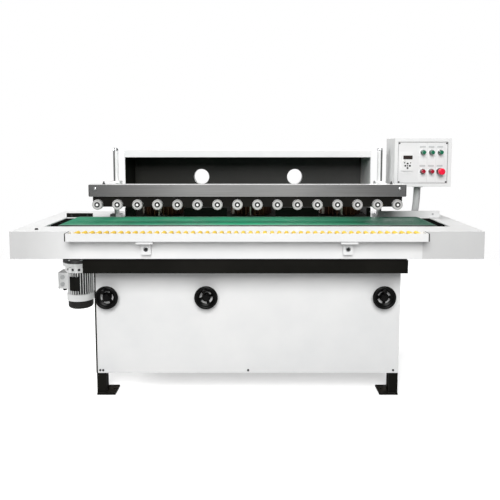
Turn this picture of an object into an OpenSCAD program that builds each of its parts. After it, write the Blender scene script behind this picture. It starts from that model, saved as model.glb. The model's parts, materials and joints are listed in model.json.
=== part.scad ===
// Through-feed edge sander. A feed belt carries boards under a row of pressure wheels
// and past three upright flap drums in a dust hood.
// Millimetres. +X runs along the feed, +Y to the rear, +Z up.
// The origin is on the floor, under the middle of the machine.
// Inside the modules y is measured from the front face of the table, towards the rear.

/* [Table] */
// Height of the table top above the floor
table_top = 925; // [850:5:1000]
// Height of the apron
table_h = 140; // [130:1:170]
// Table past each end of the belt
table_end = 147; // [120:1:250]
// Thickness of the aprons and the deck
table_wall = 6; // [4:0.5:8]
// Table behind the dust hood
table_rear = 4; // [0:1:60]

/* [Feed belt] */
// Length of the belt over its two ends
belt_l = 2100; // [1950:2:2600]
// Width of the belt
belt_w = 346; // [300:1:450]
// Thickness of the belt
belt_t = 3; // [2:0.5:4]
// Table in front of the belt
belt_front = 172; // [150:1:200]
// Belt top above the table top
belt_proud = 5; // [4:0.5:8]
// Gap in the deck beside the belt
window_side = 6; // [4:0.5:10]
// Gap in the deck past each belt end
window_end = 34; // [10:1:80]
// Diameter of the two feed rollers
roller_d = 90; // [80:1:96]
// Diameter of the roller shafts
roller_shaft_d = 30; // [20:1:36]
// Thickness of the slider bed under the belt
bed_t = 6; // [4:0.5:8]

/* [Feed drive] */
// Centre distance of the worm and its wheel
worm_offset = 36; // [25:1:45]
// Diameter of the motor flange
flange_d = 200; // [180:1:220]
// Diameter over the motor's cooling fins
motor_d = 156; // [140:1:170]
// Length of the finned body
motor_body_h = 139; // [110:1:170]
// Number of cooling fins
fin_count = 32; // [16:1:40]
// Depth of the cooling fins
fin_depth = 10; // [6:0.5:14]
// Diameter of the motor shaft
motor_shaft_d = 20; // [16:1:24]

/* [Base] */
// Cabinet side inside each belt end
cabinet_in = 230; // [190:1:250]
// Cabinet front behind the table front
cabinet_setback = 148; // [120:1:180]
// Cabinet back in front of the table back
cabinet_inset = 42; // [10:1:44]
// Height of the cabinet floor
cabinet_bottom = 124; // [100:1:180]
// Thickness of the cabinet sheet
panel_t = 4; // [2:0.5:6]
// Height of the black top frame
base_frame_h = 79; // [60:1:100]
// Top frame past the left cabinet side
base_frame_left = 18; // [0:1:40]
// Top frame past the right cabinet side
base_frame_right = 0; // [0:1:40]
// Top frame in front of the cabinet
base_frame_lip = 130; // [100:1:140]
// Width of the square legs
leg_w = 50; // [40:1:80]
// Length of a foot plate across the machine
foot_l = 100; // [92:1:150]
// Thickness of a foot plate
foot_t = 10; // [6:1:20]
// Diameter of the anchor holes
anchor_d = 14; // [10:0.5:18]

/* [Roller rail] */
// Length of the pull-out roller rail
rail_l = 1784; // [1600:2:2000]
// Depth of the rail
rail_d = 70; // [60:1:90]
// Height of the rail
rail_h = 40; // [38:1:48]
// Wall of the rail
rail_wall = 3; // [2:0.5:4]
// Diameter of the small rollers
rail_roller_d = 22; // [16:0.5:26]
// Pitch of the small rollers
rail_pitch = 36; // [30:0.5:60]
// Distance of each guide bar from the middle
rail_bar_x = 507; // [450:1:560]
// Diameter of the guide bars
rail_bar_d = 20; // [12:0.5:22]
// How far the rail pulls out
rail_travel = 300; // [100:5:320]

/* [Pressure unit] */
// Beam end inside each belt end
beam_in = 178; // [150:1:200]
// Height of the beam
beam_h = 67; // [60:1:80]
// Depth of the beam
beam_d = 60; // [46:1:70]
// Beam centre behind the table front
beam_y = 307; // [260:1:330]
// Wall of the beam tube
beam_wall = 4; // [3:0.5:6]
// Height of the wheel channel
channel_h = 57; // [50:1:80]
// Wheel underside above the belt at its lowest
wheel_low = 22; // [8:1:30]
// Diameter of the pressure wheels
wheel_d = 57; // [50:1:70]
// Width of the pressure wheels
wheel_w = 26; // [20:1:34]
// Number of pressure wheels
wheel_count = 16; // [8:1:16]
// Teeth round each pressure wheel
wheel_teeth = 22; // [12:1:26]
// Diameter of the wheel axles
axle_d = 12; // [8:0.5:14]
// Diameter of the lift posts
post_d = 30; // [24:1:36]
// Post above the beam at its highest
post_above = 163; // [90:1:230]
// Beam travel downwards
lift_down = 50; // [20:1:55]
// Beam travel upwards
lift_up = 30; // [10:1:80]

/* [Sanding heads] */
// Diameter of a flap drum
drum_d = 250; // [220:1:270]
// Height of a flap drum
drum_h = 140; // [100:1:150]
// Number of flaps on a drum
flap_count = 28; // [16:1:36]
// Thickness of a flap
flap_t = 5; // [3:0.5:7]
// Drum in front of the fence face
drum_bite = 4; // [0:0.5:8]
// Diameter of the drum spindle
spindle_d = 28; // [22:1:36]
// Head travel towards the belt
head_fwd = 10; // [4:1:12]
// Head travel away from the belt
head_back = 25; // [10:1:30]
// Adjusting screws below the top frame
screw_drop = 154; // [140:1:180]
// Diameter of the adjusting screws
screw_d = 20; // [16:1:24]
// Diameter of the handwheels
handwheel_d = 125; // [100:1:140]
// Diameter of the guide rods
rod_d = 25; // [20:1:30]

/* [Dust hood] */
// Height of the hood above the table
hood_h = 398; // [340:1:420]
// Wall of the hood
hood_wall = 3; // [2:0.5:4]
// Height of the front lip
hood_lip = 39; // [20:1:60]
// Clear bore of an extraction port
port_d = 100; // [80:1:120]
// Length of an extraction port
port_l = 60; // [40:1:90]
// Distance of each port from the middle
port_x = 303; // [200:1:400]
// Height of the ports above the table
port_rise = 226; // [200:1:240]

/* [Controls] */
// Width of the control box
control_w = 329; // [320:1:350]
// Height of the control box
control_h = 280; // [270:1:320]
// Depth of the control box
control_d = 196; // [150:1:220]
// Control box above the table top
control_rise = 190; // [180:1:240]
// Control box front behind the table front
control_y = 450; // [430:1:470]
// Width of the frame round the control plate
control_rim = 20; // [12:1:22]
// Diameter of a push button
button_d = 22; // [18:0.5:24]
// Button above the plate
button_out = 36; // [30:1:44]
// Diameter of the emergency stop
stop_d = 38; // [34:0.5:42]
// Diameter of the control arm
arm_d = 40; // [30:1:50]

/* [Hidden] */
$fn = 64;
// Radial clearance of a running fit
fit = 0.05;
// Clearance between pieces that move past each other
gap = 0.3;

WHEELS = [for (k = [1:wheel_count]) k];
SIDES = ["left", "middle", "right"];
function wheel_name(k) = str("pressure_wheel_", k < 10 ? "0" : "", k);

// Feed belt and rollers
belt_top = table_top + belt_proud;
belt_rear = belt_front + belt_w;
belt_in_r = roller_d / 2 + gap;
roller_x = belt_l / 2 - belt_t - belt_in_r;
roller_z = belt_top - belt_t - belt_in_r;
roller_side = 6;
shaft_gap = 5;
shaft_end = 3;
bearing_gap = 4;
bearing_t = 24;
bearing_w = 90;
bearing_h = 70;

// Table, from the belt outwards
table_l = belt_l + 2 * table_end;
table_bottom = table_top - table_h;
deck_under = table_top - table_wall;
window_l = belt_l + 2 * window_end;
window_y = belt_front - window_side;
window_rear = belt_rear + window_side;
web_y = belt_rear + roller_side + bearing_gap + bearing_t;
web_rear = web_y + table_wall;

// Fence, drums and hood, each behind the last
fence_t = 12;
fence_h = 58;
low_fence_h = 38;
infeed_fence_h = 24;
fence_back = 4;
fence_y = window_rear + fence_back;
head_y = fence_y - drum_bite + drum_d / 2;
drum_gap = 20;
drum_rear_gap = 24;
hood_gap = 3;
hood_y = fence_y + fence_t + hood_gap;
hood_rear = head_y + drum_d / 2 + head_back + drum_rear_gap + hood_wall;
hood_top = table_top + hood_h;
table_d = hood_rear + table_rear;
rear_end = hood_rear + port_l;
table_front_y = (rail_d - rear_end) / 2;

// Pressure unit, from the belt upwards
beam_l = belt_l - 2 * beam_in;
wheel_clear = wheel_low + lift_down;
wheel_z = belt_top + wheel_clear + wheel_d / 2;
axle_rise = 14;
channel_z = wheel_z - axle_rise;
channel_d = 40;
channel_t = 5;
channel_short = 16;
channel_l = beam_l - 2 * channel_short;
channel_back = 3;
channel_y = beam_y - channel_d / 2 + channel_back;
beam_z = channel_z + channel_h;
wheel_margin = 31;
wheel_pitch = (channel_l - 2 * wheel_margin) / (wheel_count - 1);
wheel_gap = 4;
wheel_y = channel_y - wheel_gap - wheel_w;
post_inset = 78;
post_x = beam_l / 2 - post_inset;
post_back = 27;
post_y = hood_y + post_back;
post_top = beam_z + beam_h + lift_up + post_above;
sleeve_wall = 15;
sleeve_w = post_d + 2 * sleeve_wall;
hood_post_gap = 59;
hood_l = 2 * (post_x - hood_post_gap);

// Sanding heads in the hood
head_mid = 20;
drum_side_gap = 60;
head_pitch = hood_l / 2 - hood_wall - drum_d / 2 - drum_side_gap;
HEAD_X = [head_mid - head_pitch, head_mid, head_mid + head_pitch];
cabinet_w = belt_l - 2 * cabinet_in;
screw_edge_left = 73;
screw_edge_right = 93;
screw_mid_right = 34.5;
SCREW_X = [
    screw_edge_left - cabinet_w / 2,
    HEAD_X[1] - head_pitch / 2 + screw_mid_right,
    cabinet_w / 2 - screw_edge_right
];
drum_rise = 7;
drum_z = belt_top + drum_rise;
housing_wall = 21;
housing_d = spindle_d + 2 * housing_wall;
housing_gap = 8;
housing_top = drum_z - housing_gap;
spindle_in = 130;
spindle_foot = housing_top - spindle_in;
base_frame_z = table_bottom - base_frame_h;
screw_z = base_frame_z - screw_drop;
rod_span = 130;
rod_rise = 48;
rod_z = screw_z + rod_rise;
plate_rise = 20;
plate_z = rod_z + plate_rise;
plate_t = 15;
bush_wall = 12.5;
bush_w = rod_d + 2 * bush_wall;
head_l = 150;
head_motor_d = 150;
head_motor_h = 215;
nut_wall = 8;
nut_w = screw_d + 2 * nut_wall;
screw_hole_gap = 4;
WHEEL_TURN = [0, 65, 45];
slot_gap = 5;

// Base
cabinet_rear = table_d - cabinet_inset;
cabinet_d = cabinet_rear - cabinet_setback;
base_frame_y = cabinet_setback - base_frame_lip;
base_flange = 50;
base_seat = 36;
base_web = 8;
foot_d = 106;
leg_inset = 8;
leg_x = cabinet_w / 2 - leg_w / 2;
anchor_edge = 18;
anchor_x = cabinet_w / 2 - foot_l + anchor_edge;
foot_front = cabinet_setback;
anchor_front = foot_front + foot_d / 2;
anchor_rear = cabinet_rear - foot_d / 2;
cross_w = 30;
cross_h = 50;
cross_gap = 22;
cross_front = cabinet_setback + cross_gap;
cross_rear = cabinet_rear - panel_t - cross_w;

// Feed drive, hanging behind the belt
drive_x = -roller_x;
motor_x = drive_x - worm_offset;
gearbox_d = 90;
gearbox_y = web_rear;
motor_y = gearbox_y + gearbox_d / 2;
gearbox_gap = 4;
gearbox_top = deck_under - gearbox_gap;
gearbox_drop = 60;
gearbox_bottom = table_bottom - gearbox_drop;
gearbox_neck_d = 126;
gearbox_neck_h = 60;
flange_t = 20;
gearbox_flange_z = gearbox_bottom - gearbox_neck_h - flange_t;
motor_flange_z = gearbox_flange_z - flange_t;
bell_h = 38;
motor_body_z = motor_flange_z - bell_h - motor_body_h;
collar_h = 40;
cowl_h = 50;
cowl_top = motor_body_z - collar_h;
cowl_bottom = cowl_top - cowl_h;
cowl_wall = 2.5;
shaft_in = 38;

// Roller rail
rail_rear = -gap;
rail_top = table_top;
rail_z = rail_top - rail_h;
guide_bar_rise = 16;
guide_bar_z = rail_z + guide_bar_rise;
guide_l = 200;
bar_l = rail_travel + guide_l;
guide_wall = 5;
guide_d = rail_bar_d + 2 * guide_wall;
guide_gap = 1;
cap_t = 8;
rail_roller_z = belt_top - rail_roller_d / 2;
rail_roller_end = 25;
rail_roller_count = floor((rail_l - 2 * cap_t - 2 * rail_roller_end) / rail_pitch) + 1;

// Controls
control_z = table_top + control_rise;
control_gap = 57;
control_x = post_x + control_gap + control_w / 2;
plate_recess = 4;
plate_face = control_y + plate_recess;
plate_thick = 3;
box_wall = 3;
button_left = 2;
button_x = control_x - button_left;
button_step = 50;
green_rise = 200;
green_z = control_z + green_rise;
red_rise = 90;
red_z = control_z + red_rise;
collar_out = 14;
collar_wall = 4;
collar_d = button_d + 2 * collar_wall;
stop_collar_wall = 1;
stop_collar_d = stop_d + 2 * stop_collar_wall;
stop_collar_out = 24;
button_travel = 4;
button_in = 12;
keypad_left = 92;
keypad_x = control_x - keypad_left;
keypad_rise = 144;
keypad_z = control_z + keypad_rise;
keypad_w = 70;
keypad_h = 104;
keypad_t = 6;
knob_d = 14;
knob_left = 16;
knob_x = keypad_x - knob_left;
knob_rise = 8;
knob_z = keypad_z + knob_rise;
arm_bend = 400;
arm_foot_h = 22;
arm_angle = asin((control_z - table_top - arm_foot_h / 2) / arm_bend);
arm_y = control_y + control_d / 2;
arm_foot_y = arm_y + arm_bend * (1 - cos(arm_angle));

// Moves a piece from the table's front face to the machine's frame.
module placed() {
    translate([0, table_front_y, 0])
        children();
}

// A block from x0, y0, z0 to x1, y1, z1.
module block(x0, x1, y0, y1, z0, z1) {
    translate([x0, y0, z0])
        cube([x1 - x0, y1 - y0, z1 - z0]);
}

// A block that lies evenly about the middle of the machine.
module mid_block(w, y0, y1, z0, z1) {
    block(-w / 2, w / 2, y0, y1, z0, z1);
}

// A round bar along Y.
module bar_y(d, x, z, y0, y1) {
    translate([x, y0, z])
        rotate([-90, 0, 0])
            cylinder(d = d, h = y1 - y0);
}

// A round bar upright.
module bar_z(d, x, y, z0, z1) {
    translate([x, y, z0])
        cylinder(d = d, h = z1 - z0);
}

// A revolved profile with its axis along Y and its nose to the front.
module turned_y(x, y, z) {
    translate([x, y, z])
        rotate([90, 0, 0])
            rotate_extrude()
                children();
}

// A rectangle with round corners, about its middle.
module round_rect(w, h, r) {
    square([w - 2 * r, h], center = true);
    square([w, h - 2 * r], center = true);
    for (sx = [-1, 1], sy = [-1, 1])
        translate([sx * (w / 2 - r), sy * (h / 2 - r)])
            circle(r);
}

// A plate with round corners, standing across Y.
module front_plate(w, h, r, x, z, y0, y1) {
    translate([x, y1, z])
        rotate([90, 0, 0])
            linear_extrude(y1 - y0)
                round_rect(w, h, r);
}

// A long hole in a level plate, with round ends along Y.
module long_hole(d, x, y0, y1, z0, z1) {
    bar_z(d, x, y0, z0, z1);
    bar_z(d, x, y1, z0, z1);
    block(x - d / 2, x + d / 2, y0, y1, z0, z1);
}

// Base

// Four short legs, each welded to a foot plate with one anchor hole.
module leg_feet() {
    color("#1c1c1a")
        placed()
            for (sx = [-1, 1], front = [true, false]) {
                y0 = front ? foot_front : cabinet_rear - foot_d;
                leg_y = front ? foot_front + leg_inset : cabinet_rear - leg_inset - leg_w;
                outer = sx * cabinet_w / 2;
                inner = sx * (cabinet_w / 2 - foot_l);
                difference() {
                    union() {
                        block(min(outer, inner), max(outer, inner), y0, y0 + foot_d, 0, foot_t);
                        block(
                            sx * leg_x - leg_w / 2, sx * leg_x + leg_w / 2,
                            leg_y, leg_y + leg_w, foot_t, cabinet_bottom
                        );
                    }
                    bar_z(anchor_d, sx * anchor_x, y0 + foot_d / 2, -1, foot_t + 1);
                }
            }
}

// A ring of channel bar, open to the inside, between the cabinet and the table. Its front
// stands forward under the apron, and its upper corners are cut.
module base_top_frame() {
    left = -cabinet_w / 2 - base_frame_left;
    right = cabinet_w / 2 + base_frame_right;
    bevel = 12;
    color("#1a1a18")
        placed()
            difference() {
                translate([0, cabinet_rear, 0])
                    rotate([90, 0, 0])
                        linear_extrude(cabinet_rear - base_frame_y)
                            polygon([
                                [left, base_frame_z], [right, base_frame_z],
                                [right, table_bottom - bevel], [right - bevel, table_bottom],
                                [left + bevel, table_bottom], [left, table_bottom - bevel]
                            ]);
                block(
                    left + base_flange, right - base_flange,
                    cabinet_setback + base_seat, cabinet_rear - base_flange,
                    base_frame_z - 1, table_bottom + 1
                );
                block(
                    left + base_web, right - base_web, base_frame_y + base_web, cabinet_rear - base_web,
                    base_frame_z + base_web, table_bottom - base_web
                );
            }
}

// Folded sheet: floor, both sides and back.
module cabinet_panels() {
    y0 = cabinet_setback + panel_t;
    color("#e4e5e3")
        placed()
            difference() {
                mid_block(cabinet_w, y0, cabinet_rear, cabinet_bottom, base_frame_z);
                mid_block(
                    cabinet_w - 2 * panel_t, y0 - 1, cabinet_rear - panel_t,
                    cabinet_bottom + panel_t, base_frame_z + 1
                );
            }
}

// Front sheet with a hole for each adjusting screw.
module cabinet_front() {
    hole_d = screw_d + 2 * screw_hole_gap;
    color("#e8e9e7")
        placed()
            difference() {
                mid_block(
                    cabinet_w, cabinet_setback, cabinet_setback + panel_t, cabinet_bottom, base_frame_z
                );
                for (k = [0:2])
                    bar_y(
                        hole_d, SCREW_X[k], screw_z,
                        cabinet_setback - 1, cabinet_setback + panel_t + 1
                    );
            }
}

// Table and feed belt

// Aprons all round, a deck with the belt window, a web behind the belt and two sole bars.
module table_frame() {
    sole_w = 40;
    sole_h = 36;
    sole_x = (cabinet_w - base_flange) / 2;
    color("#e2e3e1")
        placed()
            difference() {
                union() {
                    difference() {
                        mid_block(table_l, 0, table_d, table_bottom, table_top);
                        mid_block(
                            table_l - 2 * table_wall, table_wall, table_d - table_wall,
                            table_bottom - 1, deck_under
                        );
                    }
                    mid_block(table_l - table_wall, web_y, web_rear, table_bottom, table_top - 1);
                    for (sx = [-1, 1])
                        block(
                            sx * sole_x - sole_w / 2, sx * sole_x + sole_w / 2,
                            table_wall - 1, table_d - table_wall + 1, table_bottom, table_bottom + sole_h
                        );
                }
                mid_block(window_l, window_y, window_rear, deck_under - 1, table_top + 1);
                bar_y(roller_shaft_d + 2 * shaft_gap, drive_x, roller_z, web_y - 1, web_rear + 1);
                for (x = HEAD_X)
                    long_hole(
                        housing_d + 2 * slot_gap, x, head_y - head_fwd, head_y + head_back,
                        deck_under - 1, table_top + 1
                    );
                for (sx = [-1, 1])
                    bar_y(guide_d, sx * rail_bar_x, guide_bar_z, -1, table_wall + 1);
            }
}

// Slider plate with turned-down sides, on cross bars between the two belt runs.
module conveyor_bed() {
    bed_gap = 12;
    bed_l = 2 * (roller_x - roller_d / 2 - bed_gap);
    bed_top = belt_top - belt_t;
    side_h = 56;
    bar_w = 30;
    bar_drop = 24;
    bar_top = bed_top - bed_t - bar_drop;
    bar_end = 100;
    guide_clear = 67;
    guide_hole_d = guide_d + 2 * guide_gap;
    bar_mid = rail_bar_x - guide_d / 2 - guide_clear;
    bar_out = bed_l / 2 - bar_end;
    color("#9a9c9a")
        placed()
            difference() {
                union() {
                    mid_block(bed_l, belt_front, belt_rear, bed_top - bed_t, bed_top);
                    mid_block(bed_l, belt_front, belt_front + bed_t, bed_top - side_h, bed_top);
                    mid_block(bed_l, belt_rear - bed_t, belt_rear, bed_top - side_h, bed_top);
                    for (x = [-bar_out, -bar_mid, 0, bar_mid, bar_out])
                        block(x - bar_w / 2, x + bar_w / 2, table_wall, web_y, bar_top - bar_w, bar_top);
                }
                for (sx = [-1, 1])
                    bar_y(
                        guide_hole_d, sx * rail_bar_x, guide_bar_z, belt_front - 1, belt_front + bed_t + 1
                    );
            }
}

// One closed loop of belt round the two rollers.
module belt_outline(r) {
    for (sx = [-1, 1])
        translate([sx * roller_x, 0])
            circle(r);
    square([2 * roller_x, 2 * r], center = true);
}

module conveyor_belt() {
    color("#2f9e73")
        placed()
            translate([0, belt_rear, roller_z])
                rotate([90, 0, 0])
                    linear_extrude(belt_w)
                        difference() {
                            belt_outline(belt_in_r + belt_t);
                            belt_outline(belt_in_r);
                        }
}

// A roller with its shaft, from the front bearing to the given rear end.
module feed_roller(x, shaft_rear) {
    bar_y(roller_d, x, roller_z, belt_front - roller_side, belt_rear + roller_side);
    bar_y(roller_shaft_d, x, roller_z, table_wall + shaft_end, shaft_rear);
}

module drive_roller() {
    color("#b9bbba")
        placed()
            feed_roller(drive_x, gearbox_y + gearbox_d - shaft_end);
}

module idler_roller() {
    color("#b9bbba")
        placed()
            feed_roller(-drive_x, web_y - shaft_end);
}

// Four bearing blocks, two on the front apron and two on the web.
module roller_bearings() {
    color("#4a4c4d")
        placed()
            for (sx = [-1, 1], y0 = [table_wall, web_y - bearing_t])
                difference() {
                    translate([sx * roller_x - bearing_w / 2, y0, roller_z - bearing_h / 2])
                        cube([bearing_w, bearing_t, bearing_h]);
                    bar_y(
                        roller_shaft_d + 2 * fit, sx * roller_x, roller_z, y0 - 1, y0 + bearing_t + 1
                    );
                }
}

// Guide plate behind the belt, cut away in front of each drum, and a short low one at the infeed.
module rear_fence() {
    infeed_over = 36;
    infeed_x = -(belt_l / 2 + infeed_over);
    infeed_l = 155;
    left_x = -hood_l / 2;
    right_x = hood_l / 2;
    sill = belt_proud + 3;
    window_w = drum_d + 2 * drum_gap;
    color("#1d1e1c")
        placed()
            difference() {
                union() {
                    block(
                        infeed_x, infeed_x + infeed_l, fence_y, fence_y + fence_t,
                        table_top, table_top + infeed_fence_h
                    );
                    block(left_x, right_x, fence_y, fence_y + fence_t, table_top, table_top + fence_h);
                }
                for (x = HEAD_X)
                    block(
                        x - window_w / 2, x + window_w / 2, fence_y - 1, fence_y + fence_t + 1,
                        table_top + sill, table_top + fence_h + 1
                    );
            }
}

// Plain guide plate past the last drum.
module outfeed_fence() {
    post_gap = 45;
    belt_over = 98;
    fence_x = hood_l / 2 + post_gap;
    fence_end = belt_l / 2 + belt_over;
    color("#c9cbca")
        placed()
            block(fence_x, fence_end, fence_y, fence_y + fence_t, table_top, table_top + low_fence_h);
}

// Feed drive

// Worm gearbox on the rear end of the drive roller's shaft.
module worm_gearbox() {
    case_r = 50;
    case_out = 62;
    case_l = motor_x - case_out;
    boss_d = 88;
    boss_drop = 14;
    color("#3b3d3e")
        placed()
            difference() {
                union() {
                    block(
                        case_l, drive_x + case_r, gearbox_y, gearbox_y + gearbox_d,
                        gearbox_bottom, gearbox_top
                    );
                    bar_y(boss_d, drive_x, roller_z - boss_drop, gearbox_y, gearbox_y + gearbox_d);
                    bar_z(
                        gearbox_neck_d, motor_x, motor_y,
                        gearbox_flange_z + flange_t, gearbox_bottom + 1
                    );
                    bar_z(
                        flange_d, motor_x, motor_y, gearbox_flange_z, gearbox_flange_z + flange_t
                    );
                }
                bar_y(
                    roller_shaft_d + 2 * fit, drive_x, roller_z, gearbox_y - 1, gearbox_y + gearbox_d + 1
                );
            }
}

// Finned motor with flange, vented bell, end collar and terminal box.
module feed_motor() {
    core_d = motor_d - 2 * fin_depth;
    fin_t = 3.5;
    fin_root = 3;
    bell_z = motor_flange_z - bell_h;
    bell_out = 9;
    bell_d = motor_d + 2 * bell_out;
    collar_out = 3;
    slot_count = 14;
    slot = 14;
    slot_depth = 8;
    box_out = 38;
    box_w = 90;
    box_rise = 32;
    box_z = motor_body_z + box_rise;
    box_h = 100;
    box_in = 34;
    shaft_play = 2;
    color("#c4c6c5")
        placed()
            difference() {
                union() {
                    bar_z(flange_d, motor_x, motor_y, motor_flange_z, motor_flange_z + flange_t);
                    bar_z(bell_d, motor_x, motor_y, bell_z, motor_flange_z);
                    bar_z(core_d, motor_x, motor_y, motor_body_z, bell_z);
                    bar_z(motor_d + 2 * collar_out, motor_x, motor_y, cowl_top, motor_body_z);
                    for (k = [0:fin_count - 1])
                        translate([motor_x, motor_y, motor_body_z])
                            rotate([0, 0, (k + 0.5) * 360 / fin_count])
                                translate([core_d / 2 - fin_root, -fin_t / 2, 0])
                                    cube([fin_depth + fin_root, fin_t, motor_body_h]);
                    translate([motor_x - motor_d / 2 - box_out, motor_y - box_w / 2, box_z])
                        cube([motor_d / 2 + box_out - box_in, box_w, box_h]);
                }
                for (k = [0:slot_count - 1])
                    translate([motor_x, motor_y, bell_z + (bell_h - slot) / 2])
                        rotate([0, 0, k * 360 / slot_count])
                            translate([bell_d / 2 - slot_depth, -slot / 2, 0])
                                cube([2 * slot_depth, slot, slot]);
                bar_z(
                    motor_shaft_d + 2 * fit, motor_x, motor_y,
                    cowl_top - 1, motor_body_z + shaft_in + shaft_play
                );
            }
}

// Fan on the lower end of the motor shaft.
module motor_fan() {
    blade_count = 7;
    blade_gap = 22;
    blade_r = motor_d / 2 - blade_gap;
    hub_h = 22;
    hub_wall = 8;
    hub_d = motor_shaft_d + 2 * hub_wall;
    hub_gap = 5;
    hub_z = cowl_top - hub_gap - hub_h;
    blade_t = 3;
    blade_root = 4;
    blade_in = hub_d / 2 - blade_root;
    color("#2a2b2b")
        placed()
            translate([motor_x, motor_y, 0]) {
                translate([0, 0, hub_z])
                    cylinder(d = hub_d, h = hub_h);
                translate([0, 0, hub_z])
                    cylinder(d = motor_shaft_d, h = motor_body_z + shaft_in - hub_z);
                for (k = [0:blade_count - 1])
                    rotate([0, 0, k * 360 / blade_count])
                        translate([blade_in, -blade_t / 2, hub_z])
                            cube([blade_r - blade_in, blade_t, hub_h]);
            }
}

// Cup-shaped fan cover, rounded at its foot, with a ring of air holes.
module fan_cowl() {
    cowl_in = 3;
    r = motor_d / 2 - cowl_in;
    round_r = 16;
    hole_at = 41;
    hole_count = 12;
    hole_d = 10;
    color("#161614")
        placed()
            translate([motor_x, motor_y, 0])
                difference() {
                    rotate_extrude()
                        translate([0, cowl_bottom]) {
                            difference() {
                                cowl_profile(r, round_r, cowl_h);
                                translate([0, cowl_wall])
                                    cowl_profile(r - cowl_wall, round_r - cowl_wall, cowl_h);
                            }
                        }
                    for (k = [0:hole_count - 1])
                        rotate([0, 0, k * 360 / hole_count])
                            translate([hole_at, 0, cowl_bottom - 1])
                                cylinder(d = hole_d, h = cowl_wall + 2);
                }
}

// Half section of a cup with a rounded lower edge.
module cowl_profile(r, round_r, h) {
    square([r - round_r, h]);
    translate([0, round_r])
        square([r, h - round_r]);
    translate([r - round_r, round_r])
        intersection() {
            circle(round_r);
            translate([0, -round_r])
                square([round_r, round_r]);
        }
}

// Roller rail

// Shelf brackets on the apron, each with a guide tube behind it.
module rail_brackets() {
    shelf_w = 85;
    shelf_t = 14;
    shelf_top = rail_z - gap;
    shelf_short = 8;
    stem_w = 50;
    stem_t = 20;
    stem_h = 62;
    stem_lap = 6;
    shelf_round = 4;
    stem_round = 8;
    color("#e6e7e5")
        placed()
            for (sx = [-1, 1]) {
                x = sx * rail_bar_x;
                front_plate(
                    shelf_w, shelf_t, shelf_round, x, shelf_top - shelf_t / 2, shelf_short - rail_d, 0
                );
                front_plate(
                    stem_w, stem_h + stem_lap, stem_round, x, shelf_top - shelf_t + (stem_lap - stem_h) / 2,
                    -stem_t, 0
                );
                difference() {
                    bar_y(guide_d, x, guide_bar_z, 0, table_wall + guide_l);
                    bar_y(rail_bar_d + 2 * fit, x, guide_bar_z, -1, table_wall + guide_l + 1);
                }
            }
}

// Channel open at the top, with end caps and two guide bars.
module roller_rail() {
    color("#eceded")
        placed() {
            difference() {
                mid_block(rail_l, -rail_d, rail_rear, rail_z, rail_top);
                mid_block(
                    rail_l - 2 * cap_t, rail_wall - rail_d, rail_rear - rail_wall,
                    rail_z + rail_wall, rail_top + 1
                );
            }
            for (sx = [-1, 1])
                bar_y(rail_bar_d, sx * rail_bar_x, guide_bar_z, -rail_wall, bar_l);
        }
}

// Row of small rollers on their pins.
module rail_rollers() {
    pin_d = 6;
    roller_gap = 4;
    color("#edb93a")
        placed()
            for (k = [0:rail_roller_count - 1]) {
                x = (k - (rail_roller_count - 1) / 2) * rail_pitch;
                bar_y(
                    rail_roller_d, x, rail_roller_z,
                    rail_wall + roller_gap - rail_d, rail_rear - rail_wall - roller_gap
                );
                bar_y(pin_d, x, rail_roller_z, rail_wall - rail_d, rail_rear - rail_wall);
            }
}

// Pressure unit

// Two round posts on the table, each with a square foot.
module lift_posts() {
    base_side = 20;
    base_front = 10;
    base_w = post_d + 2 * base_side;
    base_d = post_d + 2 * base_front;
    base_h = 16;
    color("#8f9192")
        placed()
            for (sx = [-1, 1]) {
                bar_z(post_d, sx * post_x, post_y, table_top, post_top);
                translate([sx * post_x - base_w / 2, post_y - base_d / 2, table_top])
                    cube([base_w, base_d, base_h]);
            }
}

// Sleeves that slide on the posts, with arms forward to the beam.
module beam_carriers() {
    arm_w = 40;
    arm_inset = 8;
    arm_z = beam_z + arm_inset;
    arm_h = beam_h - 2 * arm_inset;
    color("#3a3c3d")
        placed()
            for (sx = [-1, 1])
                difference() {
                    union() {
                        translate([sx * post_x - sleeve_w / 2, post_y - sleeve_w / 2, beam_z])
                            cube([sleeve_w, sleeve_w, beam_h]);
                        block(
                            sx * post_x - arm_w / 2, sx * post_x + arm_w / 2,
                            beam_y + beam_d / 2, post_y - sleeve_w / 2 + 1, arm_z, arm_z + arm_h
                        );
                    }
                    bar_z(post_d + 2 * fit, sx * post_x, post_y, beam_z - 1, beam_z + beam_h + 1);
                }
}

// Square tube across the machine.
module pressure_beam() {
    color("#7f8182")
        placed()
            difference() {
                mid_block(beam_l, beam_y - beam_d / 2, beam_y + beam_d / 2, beam_z, beam_z + beam_h);
                mid_block(
                    beam_l + 2, beam_y - beam_d / 2 + beam_wall, beam_y + beam_d / 2 - beam_wall,
                    beam_z + beam_wall, beam_z + beam_h - beam_wall
                );
            }
}

// Middle of wheel k along the beam.
function wheel_x(k) = (k - (wheel_count + 1) / 2) * wheel_pitch;

// Channel under the beam, open to the rear, with one headed axle for each wheel.
module wheel_channel() {
    head_t = 3;
    head_wall = 2.5;
    head_d = axle_d + 2 * head_wall;
    shoulder_wall = 3;
    shoulder_d = axle_d + 2 * shoulder_wall;
    color("#2c2d2d")
        placed() {
            difference() {
                mid_block(channel_l, channel_y, channel_y + channel_d, channel_z, beam_z);
                mid_block(
                    channel_l + 2, channel_y + channel_t, channel_y + channel_d + 1,
                    channel_z + channel_t, beam_z - channel_t
                );
            }
            for (k = WHEELS) {
                bar_y(axle_d, wheel_x(k), wheel_z, wheel_y - gap - head_t, channel_y + 1);
                bar_y(shoulder_d, wheel_x(k), wheel_z, wheel_y + wheel_w + gap, channel_y + 1);
                bar_y(head_d, wheel_x(k), wheel_z, wheel_y - gap - head_t, wheel_y - gap);
            }
        }
}

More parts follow.
